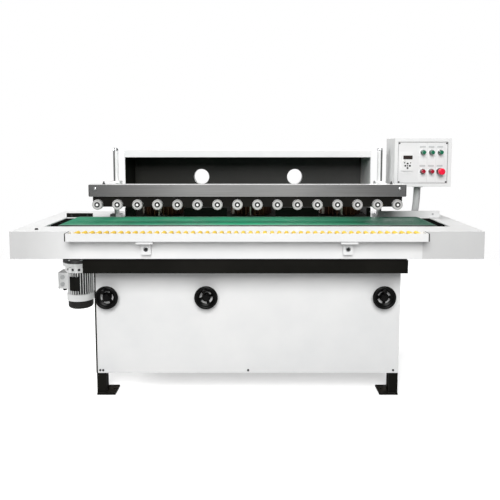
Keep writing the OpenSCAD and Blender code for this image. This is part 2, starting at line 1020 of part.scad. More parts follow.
// Toothed pressure wheel with a ring groove round its hub.
module pressure_wheel(k) {
    notch_r = 2.5;
    hub_wall = 3;
    tread = 13.5;
    groove_in = axle_d / 2 + hub_wall;
    groove_out = wheel_d / 2 - tread;
    groove_depth = 4;
    notch_out = 0.2;
    color("#c3c5c4")
        placed()
            translate([wheel_x(k), wheel_y + wheel_w, wheel_z])
                rotate([90, 0, 0])
                    difference() {
                        cylinder(d = wheel_d, h = wheel_w);
                        translate([0, 0, -1])
                            cylinder(d = axle_d + 2 * fit, h = wheel_w + 2);
                        translate([0, 0, wheel_w - groove_depth])
                            difference() {
                                cylinder(r = groove_out, h = groove_depth + 1);
                                translate([0, 0, -1])
                                    cylinder(r = groove_in, h = groove_depth + 3);
                            }
                        for (t = [0:wheel_teeth - 1])
                            rotate([0, 0, t * 360 / wheel_teeth])
                                translate([wheel_d / 2 + notch_out, 0, -1])
                                    cylinder(r = notch_r, h = wheel_w + 2, $fn = 16);
                    }
}

// Sanding heads

// Two cross rails in the cabinet with a pair of guide rods for each head.
module head_guides() {
    span = cabinet_w - 2 * panel_t;
    edge = 25;
    high = rod_z + edge;
    color("#6b6d6e")
        placed()
            difference() {
                union() {
                    mid_block(span, cross_front, cross_front + cross_w, screw_z - edge, high);
                    mid_block(span, cross_rear, cross_rear + cross_w, high - cross_h, high);
                    for (x = HEAD_X, sx = [-1, 1])
                        bar_y(rod_d, x + sx * rod_span, rod_z, cross_front + 1, cross_rear + 1);
                }
                for (k = [0:2])
                    bar_y(
                        screw_d + 2 * fit, SCREW_X[k], screw_z,
                        cross_front - 1, cross_front + cross_w + 1
                    );
            }
}

// Carriage plate on two bushed runners, with the nut, the spindle housing and the motor.
module sanding_head(k) {
    x = HEAD_X[k];
    nut_x = SCREW_X[k];
    plate_x0 = min(x - rod_span - bush_w / 2, nut_x - nut_w / 2);
    plate_x1 = max(x + rod_span + bush_w / 2, nut_x + nut_w / 2);
    front = head_y - head_l / 2;
    rear = front + head_l;
    nut_l = 60;
    boss_wall = 25;
    boss_d = housing_d + 2 * boss_wall;
    spindle_play = 2;
    boss_h = 12;
    color("#55595c")
        placed()
            difference() {
                union() {
                    block(plate_x0, plate_x1, front, rear, plate_z, plate_z + plate_t);
                    for (sx = [-1, 1])
                        translate([x + sx * rod_span - bush_w / 2, front, rod_z - bush_w / 2])
                            cube([bush_w, head_l, plate_z - rod_z + bush_w / 2 + 1]);
                    block(
                        nut_x - nut_w / 2, nut_x + nut_w / 2, front, front + nut_l,
                        screw_z - nut_w / 2, plate_z + 1
                    );
                    bar_z(housing_d, x, head_y, plate_z, housing_top);
                    bar_z(boss_d, x, head_y, plate_z, plate_z + plate_t + boss_h);
                    bar_z(head_motor_d, x, head_y, plate_z - head_motor_h, plate_z + 1);
                }
                bar_z(spindle_d + 2 * fit, x, head_y, spindle_foot - spindle_play, housing_top + 1);
                for (sx = [-1, 1])
                    bar_y(rod_d + 2 * fit, x + sx * rod_span, rod_z, front - 1, rear + 1);
                bar_y(screw_d + 2 * fit, nut_x, screw_z, front - 1, front + nut_l + 1);
            }
}

// Flap drum: abrasive flaps round a core, clamped by two discs, on its spindle.
module sanding_drum(k) {
    core_d = 110;
    disc_d = 160;
    disc_t = 8;
    lean = 18;
    flap_root = 6;
    flap_in = core_d / 2 - flap_root;
    color("#8a5a3c")
        placed()
            translate([HEAD_X[k], head_y, 0]) {
                translate([0, 0, spindle_foot])
                    cylinder(d = spindle_d, h = drum_z + drum_h - spindle_foot);
                translate([0, 0, drum_z])
                    cylinder(d = core_d, h = drum_h);
                for (z = [drum_z, drum_z + drum_h - disc_t])
                    translate([0, 0, z])
                        cylinder(d = disc_d, h = disc_t);
                intersection() {
                    translate([0, 0, drum_z])
                        cylinder(d = drum_d, h = drum_h);
                    for (f = [0:flap_count - 1])
                        rotate([0, 0, f * 360 / flap_count])
                            translate([flap_in, -flap_t / 2, drum_z])
                                rotate([0, 0, lean])
                                    cube([drum_d / 2, flap_t, drum_h]);
                }
            }
}

// Dished handwheel with windows round its hub and a crank handle, on its adjusting screw.
module handwheel(k) {
    x = SCREW_X[k];
    rim_r = 9;
    rim_at = handwheel_d / 2 - rim_r;
    hub_wall = 8;
    hub_r = screw_d / 2 + hub_wall;
    hub_round = 6;
    window_edge = 9;
    hub_gap = 6;
    hub_y = cabinet_setback - hub_gap;
    hub_l = 40;
    rim_y = 30;
    handle_in = 10;
    handle_at = rim_at - handle_in;
    handle_turn = 100;
    window_count = 4;
    window_in = hub_r + hub_round;
    window_out = rim_at - rim_r - window_edge;
    window_sweep = 62;
    handle_d = 18;
    handle_l = 42;
    pin_d = 12;
    grip_gap = 10;
    screw_over = 40;
    screw_end = head_y + screw_over;
    collar_l = 8;
    collar_wall = 6;
    collar_d = screw_d + 2 * collar_wall;
    tip_in = 20;
    dish_root = 12;
    dish_in = 8;
    lap = 2;
    color("#141414")
        placed() {
            difference() {
                turned_y(x, hub_y, screw_z) {
                    square([hub_r, hub_l]);
                    translate([rim_at, rim_y])
                        circle(rim_r);
                    polygon([
                        [hub_r - lap, lap], [rim_at - 2 * lap, rim_y - dish_in],
                        [rim_at - lap, rim_y + lap], [hub_r - lap, dish_root]
                    ]);
                }
                translate([x, hub_y, screw_z])
                    rotate([90, 0, 0])
                        for (w = [0:window_count - 1])
                            rotate([0, 0, WHEEL_TURN[k] + w * 360 / window_count - window_sweep / 2])
                                rotate_extrude(angle = window_sweep)
                                    translate([window_in, -1])
                                        square([window_out - window_in, hub_l]);
            }
            translate([x + handle_at * cos(handle_turn), 0, screw_z + handle_at * sin(handle_turn)]) {
                bar_y(pin_d, 0, 0, hub_y - rim_y - handle_l, hub_y - rim_y + 2 * lap);
                bar_y(handle_d, 0, 0, hub_y - rim_y - grip_gap - handle_l, hub_y - rim_y - grip_gap);
            }
            bar_y(screw_d, x, screw_z, hub_y - tip_in, screw_end);
            bar_y(collar_d, x, screw_z, cross_front - gap - collar_l, cross_front - gap);
            bar_y(
                collar_d, x, screw_z,
                cross_front + cross_w + gap, cross_front + cross_w + gap + collar_l
            );
        }
}

// Dust hood

// Box without a floor or a front, with a lip along the top and two ports in the back.
module dust_hood() {
    port_z = table_top + port_rise;
    port_wall = 2;
    color("#e3e4e2")
        placed()
            difference() {
                union() {
                    difference() {
                        mid_block(hood_l, hood_y, hood_rear, table_top, hood_top);
                        mid_block(
                            hood_l - 2 * hood_wall, hood_y + hood_wall, hood_rear - hood_wall,
                            table_top - 1, hood_top - hood_wall
                        );
                        mid_block(
                            hood_l - 2 * hood_wall, hood_y - 1, hood_y + hood_wall + 1,
                            table_top - 1, hood_top - hood_lip
                        );
                    }
                    for (sx = [-1, 1])
                        bar_y(
                            port_d + 2 * port_wall, sx * port_x, port_z, hood_rear - 1, rear_end
                        );
                }
                for (sx = [-1, 1])
                    bar_y(port_d, sx * port_x, port_z, hood_rear - hood_wall - 1, rear_end + 1);
            }
}

// Controls

// Hollow box with a rim round the recessed front.
module control_box() {
    x0 = control_x - control_w / 2;
    x1 = control_x + control_w / 2;
    z1 = control_z + control_h;
    color("#eceded")
        placed()
            difference() {
                block(x0, x1, control_y, control_y + control_d, control_z, z1);
                block(
                    x0 + box_wall, x1 - box_wall,
                    plate_face + plate_thick, control_y + control_d - box_wall,
                    control_z + box_wall, z1 - box_wall
                );
                block(
                    x0 + control_rim, x1 - control_rim, control_y - 1, plate_face + plate_thick + 1,
                    control_z + control_rim, z1 - control_rim
                );
            }
}

// Collar of one button, from the plate forwards.
module button_collar(x, z, d, out) {
    bar_y(d, x, z, plate_face - out, plate_face + 1);
}

// Front plate with the keypad, three strips and the button collars.
module control_plate() {
    w = control_w - 2 * control_rim;
    h = control_h - 2 * control_rim;
    strip_w = 44;
    strip_edge = 8;
    strip_h = h - 2 * strip_edge;
    strip_t = 1.5;
    strip_round = 2;
    keypad_round = 4;
    mid_z = control_z + control_h / 2;
    bore = button_d + 4 * fit;
    color("#e9eaea")
        placed()
            difference() {
                union() {
                    translate([control_x - w / 2, plate_face, mid_z - h / 2])
                        cube([w, plate_thick, h]);
                    front_plate(
                        keypad_w, keypad_h, keypad_round, keypad_x, keypad_z,
                        plate_face - keypad_t, plate_face + 1
                    );
                    for (c = [0:2]) {
                        x = button_x + c * button_step;
                        front_plate(
                            strip_w, strip_h, strip_round, x, mid_z,
                            plate_face - strip_t, plate_face + 1
                        );
                        button_collar(x, green_z, collar_d, collar_out);
                        if (c < 2)
                            button_collar(x, red_z, collar_d, collar_out);
                    }
                    button_collar(button_x + 2 * button_step, red_z, stop_collar_d, stop_collar_out);
                }
                for (c = [0:2], z = [green_z, red_z])
                    bar_y(
                        bore, button_x + c * button_step, z, plate_face - stop_collar_out - 1,
                        plate_face + plate_thick + 1
                    );
                bar_y(
                    knob_d / 2 + 2 * fit, knob_x, knob_z,
                    plate_face - keypad_t - 1, plate_face + plate_thick + 1
                );
            }
}

// Bent tube from a foot on the table to a flange under the box.
module control_arm() {
    foot_wall = 25;
    flange_wall = 15;
    foot_d = arm_d + 2 * foot_wall;
    flange_d = arm_d + 2 * flange_wall;
    flange_h = 8;
    color("#b5b7b7")
        placed() {
            bar_z(foot_d, control_x, arm_foot_y, table_top, table_top + arm_foot_h);
            bar_z(flange_d, control_x, arm_y, control_z - flange_h, control_z);
            translate([control_x, arm_y + arm_bend, control_z])
                rotate([90, 0, 90])
                    rotate([0, 0, 180])
                        rotate_extrude(angle = arm_angle)
                            translate([arm_bend, 0])
                                circle(d = arm_d);
        }
}

// A push button with a softened front edge.
module push_button(x, z) {
    edge = 2;
    r = button_d / 2;
    turned_y(x, plate_face + button_in, z) {
        square([r, button_out + button_in - edge]);
        square([r - edge, button_out + button_in]);
        translate([r - edge, button_out + button_in - edge])
            circle(edge);
    }
}

module green_button(c) {
    color("#1f7a4d")
        placed()
            push_button(button_x + (c - 1) * button_step, green_z);
}

module red_button(c) {
    color("#b01c36")
        placed()
            push_button(button_x + (c - 1) * button_step, red_z);
}

// Mushroom head on a stem.
module emergency_stop() {
    head_t = 20;
    r = stop_d / 2;
    edge = 6;
    head_gap = 4;
    stem_l = button_in + stop_collar_out + button_travel + head_gap;
    color("#e8203f")
        placed()
            turned_y(button_x + 2 * button_step, plate_face + button_in, red_z) {
                square([button_d / 2, stem_l + 1]);
                translate([0, stem_l]) {
                    square([r, head_t - edge]);
                    square([r - edge, head_t]);
                    translate([r - edge, head_t - edge])
                        circle(edge);
                }
            }
}

// Small dial on the keypad.
module speed_knob() {
    knob_h = 9;
    color("#f2f2f0")
        placed() {
            bar_y(knob_d, knob_x, knob_z, plate_face - keypad_t - knob_h, plate_face - keypad_t - gap);
            bar_y(knob_d / 2, knob_x, knob_z, plate_face - keypad_t - 1, plate_face + plate_thick);
        }
}

leg_feet();
base_top_frame();
cabinet_panels();
cabinet_front();
table_frame();
conveyor_bed();
conveyor_belt();
drive_roller();
idler_roller();
roller_bearings();
rear_fence();
outfeed_fence();
worm_gearbox();
feed_motor();
motor_fan();
fan_cowl();
rail_brackets();
roller_rail();
rail_rollers();
lift_posts();
beam_carriers();
pressure_beam();
wheel_channel();
for (k = WHEELS)
    pressure_wheel(k);
head_guides();
for (k = [0:2]) {
    sanding_head(k);
    sanding_drum(k);
    handwheel(k);
}
dust_hood();
control_box();
control_plate();
control_arm();
for (c = [1:3])
    green_button(c);
for (c = [1:2])
    red_button(c);
emergency_stop();
speed_knob();
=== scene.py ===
# %% [markdown]
# # Dressing a through-feed edge sander
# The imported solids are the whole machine: table, feed belt, pressure wheels, sanding drums,
# hood and controls. This lesson keeps every solid where it is and gives it what a solid can't
# carry: paint, metal and rubber that look worn in, and the small fittings of a real machine.
# All lengths are metres, X runs along the feed, Y to the rear and Z up.

# %% Load the frame
import json
import math

import bmesh
import bpy
from mathutils import Matrix, Vector


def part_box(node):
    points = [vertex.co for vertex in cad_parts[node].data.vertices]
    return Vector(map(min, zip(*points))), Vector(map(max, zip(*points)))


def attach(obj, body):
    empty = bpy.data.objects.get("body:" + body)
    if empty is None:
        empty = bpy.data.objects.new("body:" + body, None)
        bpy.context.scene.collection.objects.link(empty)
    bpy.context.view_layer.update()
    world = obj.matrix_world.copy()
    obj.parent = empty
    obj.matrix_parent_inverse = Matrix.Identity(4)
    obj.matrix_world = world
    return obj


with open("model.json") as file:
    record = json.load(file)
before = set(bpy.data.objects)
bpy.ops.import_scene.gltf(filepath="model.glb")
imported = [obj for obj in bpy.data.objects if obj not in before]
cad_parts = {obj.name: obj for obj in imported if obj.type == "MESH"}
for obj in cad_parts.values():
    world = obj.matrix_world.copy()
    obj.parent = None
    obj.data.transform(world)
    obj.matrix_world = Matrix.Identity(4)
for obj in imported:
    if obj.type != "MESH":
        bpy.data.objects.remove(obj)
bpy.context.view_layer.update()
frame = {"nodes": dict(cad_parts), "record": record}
scene = bpy.context.scene

# %% [markdown]
# ## The camera
# The photograph was taken from the operator's side, a little above the beam, with the lens
# tipped down slightly. A camera can be aimed by eye, but the two ends of the table, the cabinet
# and the hood give enough points to work its place out, so its numbers are simply written down.
# The shift slides the picture on the sensor, as cropping a larger photograph does.

# %% Camera
PHOTO_SIDE = 500
FOCAL_PX = 545.0
CAMERA_AT = (0.025, -3.120, 1.366)
LOOK_DOWN = math.radians(5.3)
lens = bpy.data.cameras.new("operator_side")
lens.sensor_width = 36.0
lens.lens = FOCAL_PX * lens.sensor_width / PHOTO_SIDE
lens.shift_x, lens.shift_y = -0.004, -0.112
camera = bpy.data.objects.new("operator_side", lens)
tip = Matrix.Rotation(math.pi / 2 - LOOK_DOWN, 4, "X")
camera.matrix_world = Matrix.Translation(CAMERA_AT) @ tip
scene.collection.objects.link(camera)
scene.camera = camera
print("lens:", round(lens.lens, 2), "mm")

# %% [markdown]
# ## Helpers for shader nodes
# Every material is a net of small nodes. These helpers add one node each, and take a plain value
# or another node's output for any socket.

# %% Small helpers for shader nodes
def shader_node(tree, kind, props=None, **inputs):
    """Add a node. Sockets are given by name, with _ for a space, as values or as links."""
    made = tree.nodes.new("ShaderNode" + kind)
    for key, value in (props or {}).items():
        setattr(made, key, value)
    feed(tree, made, **inputs)
    return made


def feed(tree, made, **inputs):
    """Fill a node's inputs."""
    for key, value in inputs.items():
        plug(tree, value, made.inputs[key.replace("_", " ")])


def plug(tree, value, socket):
    """Link a socket, or set a plain value."""
    if isinstance(value, bpy.types.NodeSocket):
        tree.links.new(value, socket)
    else:
        socket.default_value = value


def math_outputs(tree, kind, operation, values):
    made = shader_node(tree, kind, {"operation": operation})
    for value, socket in zip(values, made.inputs):
        plug(tree, value, socket)
    return made.outputs


def calc(tree, operation, *values):
    """One Math node."""
    return math_outputs(tree, "Math", operation, values)[0]


def vector_calc(tree, operation, *values):
    """One Vector Math node's outputs."""
    return math_outputs(tree, "VectorMath", operation, values)


def times(tree, *factors):
    """A product. Of masks, it is where all of them hold."""
    made = factors[0]
    for factor in factors[1:]:
        made = calc(tree, "MULTIPLY", made, factor)
    return made


def blend(tree, factor, first, second):
    """Mix two colours."""
    made = shader_node(tree, "Mix", {"data_type": "RGBA"})
    for value, socket in ((factor, 0), (first, 6), (second, 7)):
        plug(tree, value, made.inputs[socket])
    return made.outputs[2]


def span(tree, value, low, high, to_low=0.0, to_high=1.0):
    """Map low..high to to_low..to_high and clamp."""
    made = shader_node(tree, "MapRange", {"clamp": True}, Value=value, From_Min=low,
                       From_Max=high, To_Min=to_low, To_Max=to_high)
    return made.outputs[0]


def object_point(tree):
    """The surface point in the machine's frame, at rest."""
    return shader_node(tree, "TexCoord").outputs["Object"]


def facing(tree):
    """The direction the surface faces."""
    return shader_node(tree, "NewGeometry").outputs["Normal"]


def parts_of(tree, vector):
    parts = shader_node(tree, "SeparateXYZ")
    plug(tree, vector, parts.inputs[0])
    return parts.outputs


def new_material(name):
    """A material, its node tree and its shader."""
    made = bpy.data.materials.new(name)
    made.use_nodes = True
    return made, made.node_tree, made.node_tree.nodes["Principled BSDF"]


def rgb(red, green, blue):
    return (red, green, blue, 1.0)


def grey(level):
    return rgb(level, level, level)


print("helpers ready")

# %% [markdown]
# ## Floor and light
# A catalogue picture stands on white. A floor that simply ends would draw a horizon, so this one
# is a wide sheet whose outer part fades away into the white world. It shows white to the camera
# but throws little light back up, so that the shade under the table stays deep. Four soft lamps
# light the machine: a tall key from the front, whose shadow under the rail and the table tells
# how far the parts stand apart, one at the left for the sides that face it, one above for the
# table and one behind for the back. A narrow spot reaches the motor in the table's shade.

# %% Floor
FLOOR_HALF, FLOOR_CELLS, FLOOR_DROP = 14.0, 24, 0.0005
FADE_FROM, FADE_TO = 2.2, 5.0
floor_mesh = bmesh.new()
bmesh.ops.create_grid(floor_mesh, x_segments=FLOOR_CELLS, y_segments=FLOOR_CELLS, size=FLOOR_HALF)
floor_data = bpy.data.meshes.new("studio_floor")
floor_mesh.to_mesh(floor_data)
floor_mesh.free()
floor = bpy.data.objects.new("studio_floor", floor_data)
floor.location.z = -FLOOR_DROP
scene.collection.objects.link(floor)

paper, tree, shader = new_material("studio_paper")
rays = shader_node(tree, "LightPath").outputs["Is Camera Ray"]
apart = vector_calc(tree, "LENGTH", object_point(tree))["Value"]
feed(tree, shader, Base_Color=blend(tree, rays, grey(0.52), rgb(0.93, 0.93, 0.925)),
     Emission_Color=blend(tree, rays, grey(0), grey(1)), Emission_Strength=0.45, Roughness=0.9,
     Specular_IOR_Level=0.05, Alpha=span(tree, apart, FADE_FROM, FADE_TO, 1.0, 0.0))
floor_data.materials.append(paper)
print("floor:", FLOOR_HALF * 2, "m wide, fading from", FADE_FROM, "m to", FADE_TO, "m")

# %% World and lamps
world = bpy.data.worlds.new("white_studio")
scene.world = world
world.use_nodes = True
tree = world.node_tree
seen = shader_node(tree, "Background", Color=grey(1), Strength=1.0)
cast = shader_node(tree, "Background", Color=rgb(0.97, 0.985, 1.0), Strength=0.07)
rays = shader_node(tree, "LightPath").outputs["Is Camera Ray"]
both = shader_node(tree, "MixShader")
for source, socket in zip((rays, cast.outputs[0], seen.outputs[0]), both.inputs):
    plug(tree, source, socket)
plug(tree, both.outputs[0], tree.nodes["World Output"].inputs["Surface"])


def lamp(name, kind, place, target, watts):
    """A lamp that faces a target."""
    data = bpy.data.lights.new(name, kind)
    data.energy = watts
    made = bpy.data.objects.new(name, data)
    made.location = place
    aim = Vector(target) - Vector(place)
    made.rotation_euler = aim.to_track_quat("-Z", "Y").to_euler()
    scene.collection.objects.link(made)
    return data


for name, place, target, size, watts in (
    ("key_front", (-0.1, -5.0, 3.7), (0, 0, 0.7), (3.0, 3.0), 336),
    ("side_left", (-4.8, -0.1, 2.2), (0, 0, 1.0), (1.6, 1.6), 105),
    ("top_light", (0.0, 0.0, 4.4), (0, 0, 0.6), (4.0, 2.0), 105),
    ("rear_light", (0.6, 4.2, 3.0), (0, 0, 0.8), (3.0, 2.0), 80),
):
    soft = lamp(name, "AREA", place, target, watts)
    soft.shape = "RECTANGLE"
    soft.size, soft.size_y = size
narrow = lamp("motor_spot", "SPOT", (-1.80, -3.2, 0.40), (-0.985, 0.30, 0.565), 260)
narrow.spot_size, narrow.spot_blend = math.radians(5.2), 0.6
narrow.shadow_soft_size = 0.15
scene.view_settings.view_transform = "Standard"
scene.view_settings.look = "None"

# %% [markdown]
# ## Effects that several finishes share
# Paint, castings and bare steel on one machine have the same habits: edges catch the light
# because no real edge is sharp, paint has a faint orange peel, steel shows the lines of its
# polishing and wood dust settles on whatever faces up. Each habit is one node group, built once
# and placed in every material with its own values. A group gives out only masks, heights and
# normals that change over the surface; the shader itself stays in the material.

# %% Node groups
def new_group(name, inputs, outputs):
    """An empty group with named sockets, and the sockets at its two ends."""
    group = bpy.data.node_groups.new(name, "ShaderNodeTree")
    for label, value in inputs.items():
        kind = "NodeSocketVector" if isinstance(value, tuple) else "NodeSocketFloat"
        made = group.interface.new_socket(label, in_out="INPUT", socket_type=kind)
        made.default_value = value
    for label in outputs:
        kind = "NodeSocketVector" if label == "Normal" else "NodeSocketFloat"
        group.interface.new_socket(label, in_out="OUTPUT", socket_type=kind)
    given, out = [group.nodes.new(kind) for kind in ("NodeGroupInput", "NodeGroupOutput")]
    return group, given.outputs, out.inputs


def noise(tree, scale, detail=3.0, rough=0.55, vector=None):
    made = shader_node(tree, "TexNoise", Scale=scale, Detail=detail, Roughness=rough)
    plug(tree, vector or object_point(tree), made.inputs["Vector"])
    return made.outputs[0]


tree, given, out = new_group("soft_edges", {"Width": 0.002}, ("Normal", "Wear"))
rounded = shader_node(tree, "Bevel", {"samples": 4}, Radius=given["Width"]).outputs[0]
same_way = vector_calc(tree, "DOT_PRODUCT", rounded, facing(tree))["Value"]
rub = span(tree, same_way, 0.985, 0.86)
chips = span(tree, noise(tree, 60.0, 4.0, 0.65), 0.42, 0.66)
plug(tree, rounded, out["Normal"])
plug(tree, times(tree, rub, chips), out["Wear"])

tree, given, out = new_group("paint_skin", {"Peel": 420.0}, ("Height", "Patch"))
plug(tree, noise(tree, given["Peel"], 1.0), out["Height"])
plug(tree, span(tree, noise(tree, 2.6, 4.0, 0.6), 0.34, 0.66), out["Patch"])

tree, given, out = new_group("drawn_lines", {"Stretch": (6.0, 900.0, 900.0)}, ("Streak", "Height"))
pulled = vector_calc(tree, "MULTIPLY", object_point(tree), given["Stretch"])["Vector"]
lines = noise(tree, 1.0, 5.0, 0.7, pulled)
plug(tree, span(tree, lines, 0.3, 0.7), out["Streak"])
plug(tree, lines, out["Height"])

tree, given, out = new_group("settled_dust", {"Amount": 0.3}, ("Mask",))
lying = span(tree, parts_of(tree, facing(tree))["Z"], 0.55, 0.95)
drift = span(tree, noise(tree, 9.0, 6.0, 0.7), 0.42, 0.72)
plug(tree, times(tree, lying, drift, given["Amount"]), out["Mask"])

tree, given, out = new_group("cloth_weave", {"Threads": 1200.0}, ("Height", "Tone"))
point = parts_of(tree, object_point(tree))
turn = times(tree, given["Threads"], 2 * math.pi)
warp, weft = [calc(tree, "SINE", times(tree, point[axis], turn)) for axis in "XY"]
plug(tree, times(tree, warp, weft), out["Height"])
plug(tree, span(tree, noise(tree, 3.2, 5.0, 0.62), 0.34, 0.68), out["Tone"])
print("groups:", [g.name for g in bpy.data.node_groups])

# %% [markdown]
# ## The finishes
# A powder coat, a black enamel and a bare steel bar differ in three things: how the colour
# drifts over a metre, how rough it is, and what shows where it is rubbed. One function makes all
# of them from those values. A colour may also be a small function that builds nodes, for a
# piece whose colour depends on the place, such as the hood, white outside and painted shade inside.

# %% Making a finish
DUST = rgb(0.62, 0.52, 0.40)


def place_group(tree, group, **inputs):
    """Put a group into a material and return its outputs."""
    props = {"node_tree": bpy.data.node_groups[group]}
    return shader_node(tree, "Group", props, **inputs).outputs


def built(tree, value):
    """A value as it is, or the nodes that a function builds for it."""
    return value(tree) if callable(value) else value


def finish(name, colour, dull, rough, worn, wear, edge=0.002, peel=420.0, depth=0.00004,
           dust=0.0, metallic=0.0, stretch=None, coat=0.0, spread=0.07, shine=0.5):
    """A colour that drifts to dull, with edges that show worn by the amount of wear."""
    made, tree, shader = new_material(name)
    skin = place_group(tree, "paint_skin", Peel=peel)
    edges = place_group(tree, "soft_edges", Width=edge)
    drift, height = skin["Patch"], skin["Height"]
    if stretch:
        drawn = place_group(tree, "drawn_lines", Stretch=stretch)
        drift, height = drawn["Streak"], drawn["Height"]
    base = blend(tree, drift, built(tree, colour), built(tree, dull))
    base = blend(tree, times(tree, edges["Wear"], wear), base, worn)
    if dust:
        base = blend(tree, place_group(tree, "settled_dust", Amount=dust)["Mask"], base, DUST)
    ripple = shader_node(tree, "Bump", Strength=0.35, Distance=depth, Height=height,
                         Normal=edges["Normal"])
    feed(tree, shader, Base_Color=base, Normal=ripple.outputs[0], Metallic=built(tree, metallic),
         Roughness=span(tree, skin["Patch"], 0.0, 1.0, rough - spread, rough + spread),
         Specular_IOR_Level=shine, Coat_Weight=coat, Coat_Roughness=0.08)
    return made


WHITE, WHITE_DULL = rgb(0.80, 0.80, 0.795), rgb(0.74, 0.745, 0.745)
BLACK, BLACK_DULL = rgb(0.0042, 0.0040, 0.0030), rgb(0.0075, 0.0070, 0.0055)
STEEL, STEEL_DULL = rgb(0.46, 0.465, 0.47), rgb(0.33, 0.335, 0.34)
PRIMER = rgb(0.42, 0.42, 0.41)
finishes = {
    "white_paint": finish("white_powder_coat", WHITE, WHITE_DULL, 0.42, PRIMER, 0.3, dust=0.10),
    "black_paint": finish("black_enamel", BLACK, BLACK_DULL, 0.42, STEEL_DULL, 0.2,
                          dust=0.06, shine=0.11),
    "bare_steel": finish("drawn_steel", STEEL, STEEL_DULL, 0.34, STEEL, 0.3, edge=0.001,
                         metallic=1.0, stretch=(14, 700, 700)),
    "dark_casting": finish("grey_casting", grey(0.012), grey(0.020), 0.5, STEEL_DULL, 0.4,
                           edge=0.003, peel=160.0, depth=0.0004, dust=0.15),
    "grey_paint": finish("grey_powder_coat", rgb(0.50, 0.51, 0.51), rgb(0.42, 0.43, 0.43), 0.42,
                         STEEL, 0.35, dust=0.1),
    "black_plastic": finish("black_moulding", rgb(0.009, 0.009, 0.008), rgb(0.016, 0.015, 0.014),
                            0.42, grey(0.05), 0.4, edge=0.0012, peel=900.0, depth=0.00008,
                            shine=0.2),
    "button_green": finish("green_buttons", rgb(0.012, 0.17, 0.085), rgb(0.009, 0.12, 0.062),
                           0.24, rgb(0.2, 0.5, 0.36), 0.4, edge=0.001, coat=0.5),
    "button_red": finish("red_buttons", rgb(0.42, 0.012, 0.035), rgb(0.30, 0.008, 0.022),
                         0.24, rgb(0.7, 0.3, 0.3), 0.4, edge=0.001, coat=0.5),
    "stop_red": finish("stop_button", rgb(0.90, 0.012, 0.055), rgb(0.78, 0.010, 0.04),
                       0.28, rgb(0.95, 0.4, 0.4), 0.3, edge=0.0015, coat=0.4),
    "knob_white": finish("white_knob", rgb(0.82, 0.82, 0.80), rgb(0.74, 0.74, 0.72), 0.35,
                         grey(0.6), 0.3, edge=0.0008),
}
print("plain finishes:", len(finishes))

# %% [markdown]
# ## Finishes that depend on the place
# The surface point's own coordinates tell where on the machine it is, so a mask can be built
# from them with a few sums. They stay with the piece when it slides or turns. Painted shade makes
# the hood black inside and the motor dark between its fins, and a handwheel's screw is bare steel
# although wheel and screw are one solid.

# %% Masks by place
SHARP = 0.0002


def at(tree, axis):
    """One coordinate of the surface point."""
    return parts_of(tree, object_point(tree))[axis]


def offset(tree, axis, value):
    return calc(tree, "SUBTRACT", at(tree, axis), value)


def from_middle(tree):
    """Distance along the feed from the middle of the machine."""
    return calc(tree, "ABSOLUTE", at(tree, "X"))


def radius(tree, first, second):
    """Distance from an axis, from two offsets."""
    squares = [times(tree, side, side) for side in (first, second)]
    return calc(tree, "SQRT", calc(tree, "ADD", *squares))


def above(tree, value, limit, soft=SHARP):
    return span(tree, value, limit - soft, limit + soft)


def below(tree, value, limit, soft=SHARP):
    return span(tree, value, limit + soft, limit - soft)


def past(tree, axis, limit, soft=SHARP):
    """1 beyond a limit along an axis of the machine, 0 before it."""
    return above(tree, at(tree, axis), limit, soft)


def short_of(tree, axis, limit, soft=SHARP):
    return below(tree, at(tree, axis), limit, soft)


def either(tree, first, second):
    return calc(tree, "MAXIMUM", first, second)


def between(tree, axis, low, high):
    return times(tree, past(tree, axis, low), short_of(tree, axis, high))


def two_tone(mask, first, second):
    """A colour function: second where the mask is 1, else first. Each may be a function too."""
    def colour(tree):
        return blend(tree, mask(tree), built(tree, first), built(tree, second))
    return colour


print("masks ready")

# %% Hood and table
own_finish = {}
SHEET, TABLE_WALL, SKIN = 0.003, 0.006, 0.0005
SPIGOT_L, SHADE_SPILL = 0.060, 0.010
RIGHT_END, LEFT_END, LEFT_FADE = 0.885, -0.98, 0.14
hood_low, hood_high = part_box("dust_hood")
hood_back = hood_high.y - SPIGOT_L
table_low, table_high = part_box("table_frame")


# Painted shade: the hood's inner faces are painted black where they lie in shade.
def hood_inside_shade(tree):
    side = below(tree, from_middle(tree), (hood_high.x - hood_low.x) / 2 - SHEET / 2)
    deep = between(tree, "Y", hood_low.y + SHEET / 2, hood_back - SHEET / 2)
    return times(tree, side, deep, short_of(tree, "Z", hood_high.z - SHEET / 2))


def hood_shade_ramp(tree):
    """The painted shade inside the hood lightens along this ramp, towards the outfeed."""
    return span(tree, at(tree, "X"), hood_low.x, hood_high.x)


# Painted light: the hood's inner right wall is a light grey where light falls on it.
def lit_right_wall(tree):
    return past(tree, "X", hood_high.x - SHEET - SKIN)


def table_inside_shade(tree):
    """Painted shade: black below the deck and between the aprons, and on the deck inside the hood.
    """
    wall = TABLE_WALL - SKIN
    side = below(tree, from_middle(tree), table_high.x - TABLE_WALL - SKIN)
    deep = between(tree, "Y", table_low.y + wall, table_high.y - wall)
    inside = times(tree, side, deep, short_of(tree, "Z", table_high.z - wall))
    side = below(tree, from_middle(tree), hood_high.x - SHEET)
    deep = between(tree, "Y", hood_low.y - SHADE_SPILL, hood_back)
    return either(tree, inside, times(tree, side, deep))


def apron_end_shade(tree):
    """Painted shade: the ends of the front apron, past the rail, a tone darker."""
    ends = either(tree, past(tree, "X", RIGHT_END, 0.002), short_of(tree, "X", LEFT_END, LEFT_FADE))
    front = short_of(tree, "Y", table_low.y + TABLE_WALL / 2)
    return times(tree, ends, front, short_of(tree, "Z", table_high.z - 0.001))


def hood_tone_with_shade(outside, low, high):
    inner = two_tone(lit_right_wall, two_tone(hood_shade_ramp, low, high), grey(0.78))
    return two_tone(hood_inside_shade, outside, inner)


def table_tone_with_shade(plain, end, inner):
    return two_tone(table_inside_shade, two_tone(apron_end_shade, plain, end), inner)
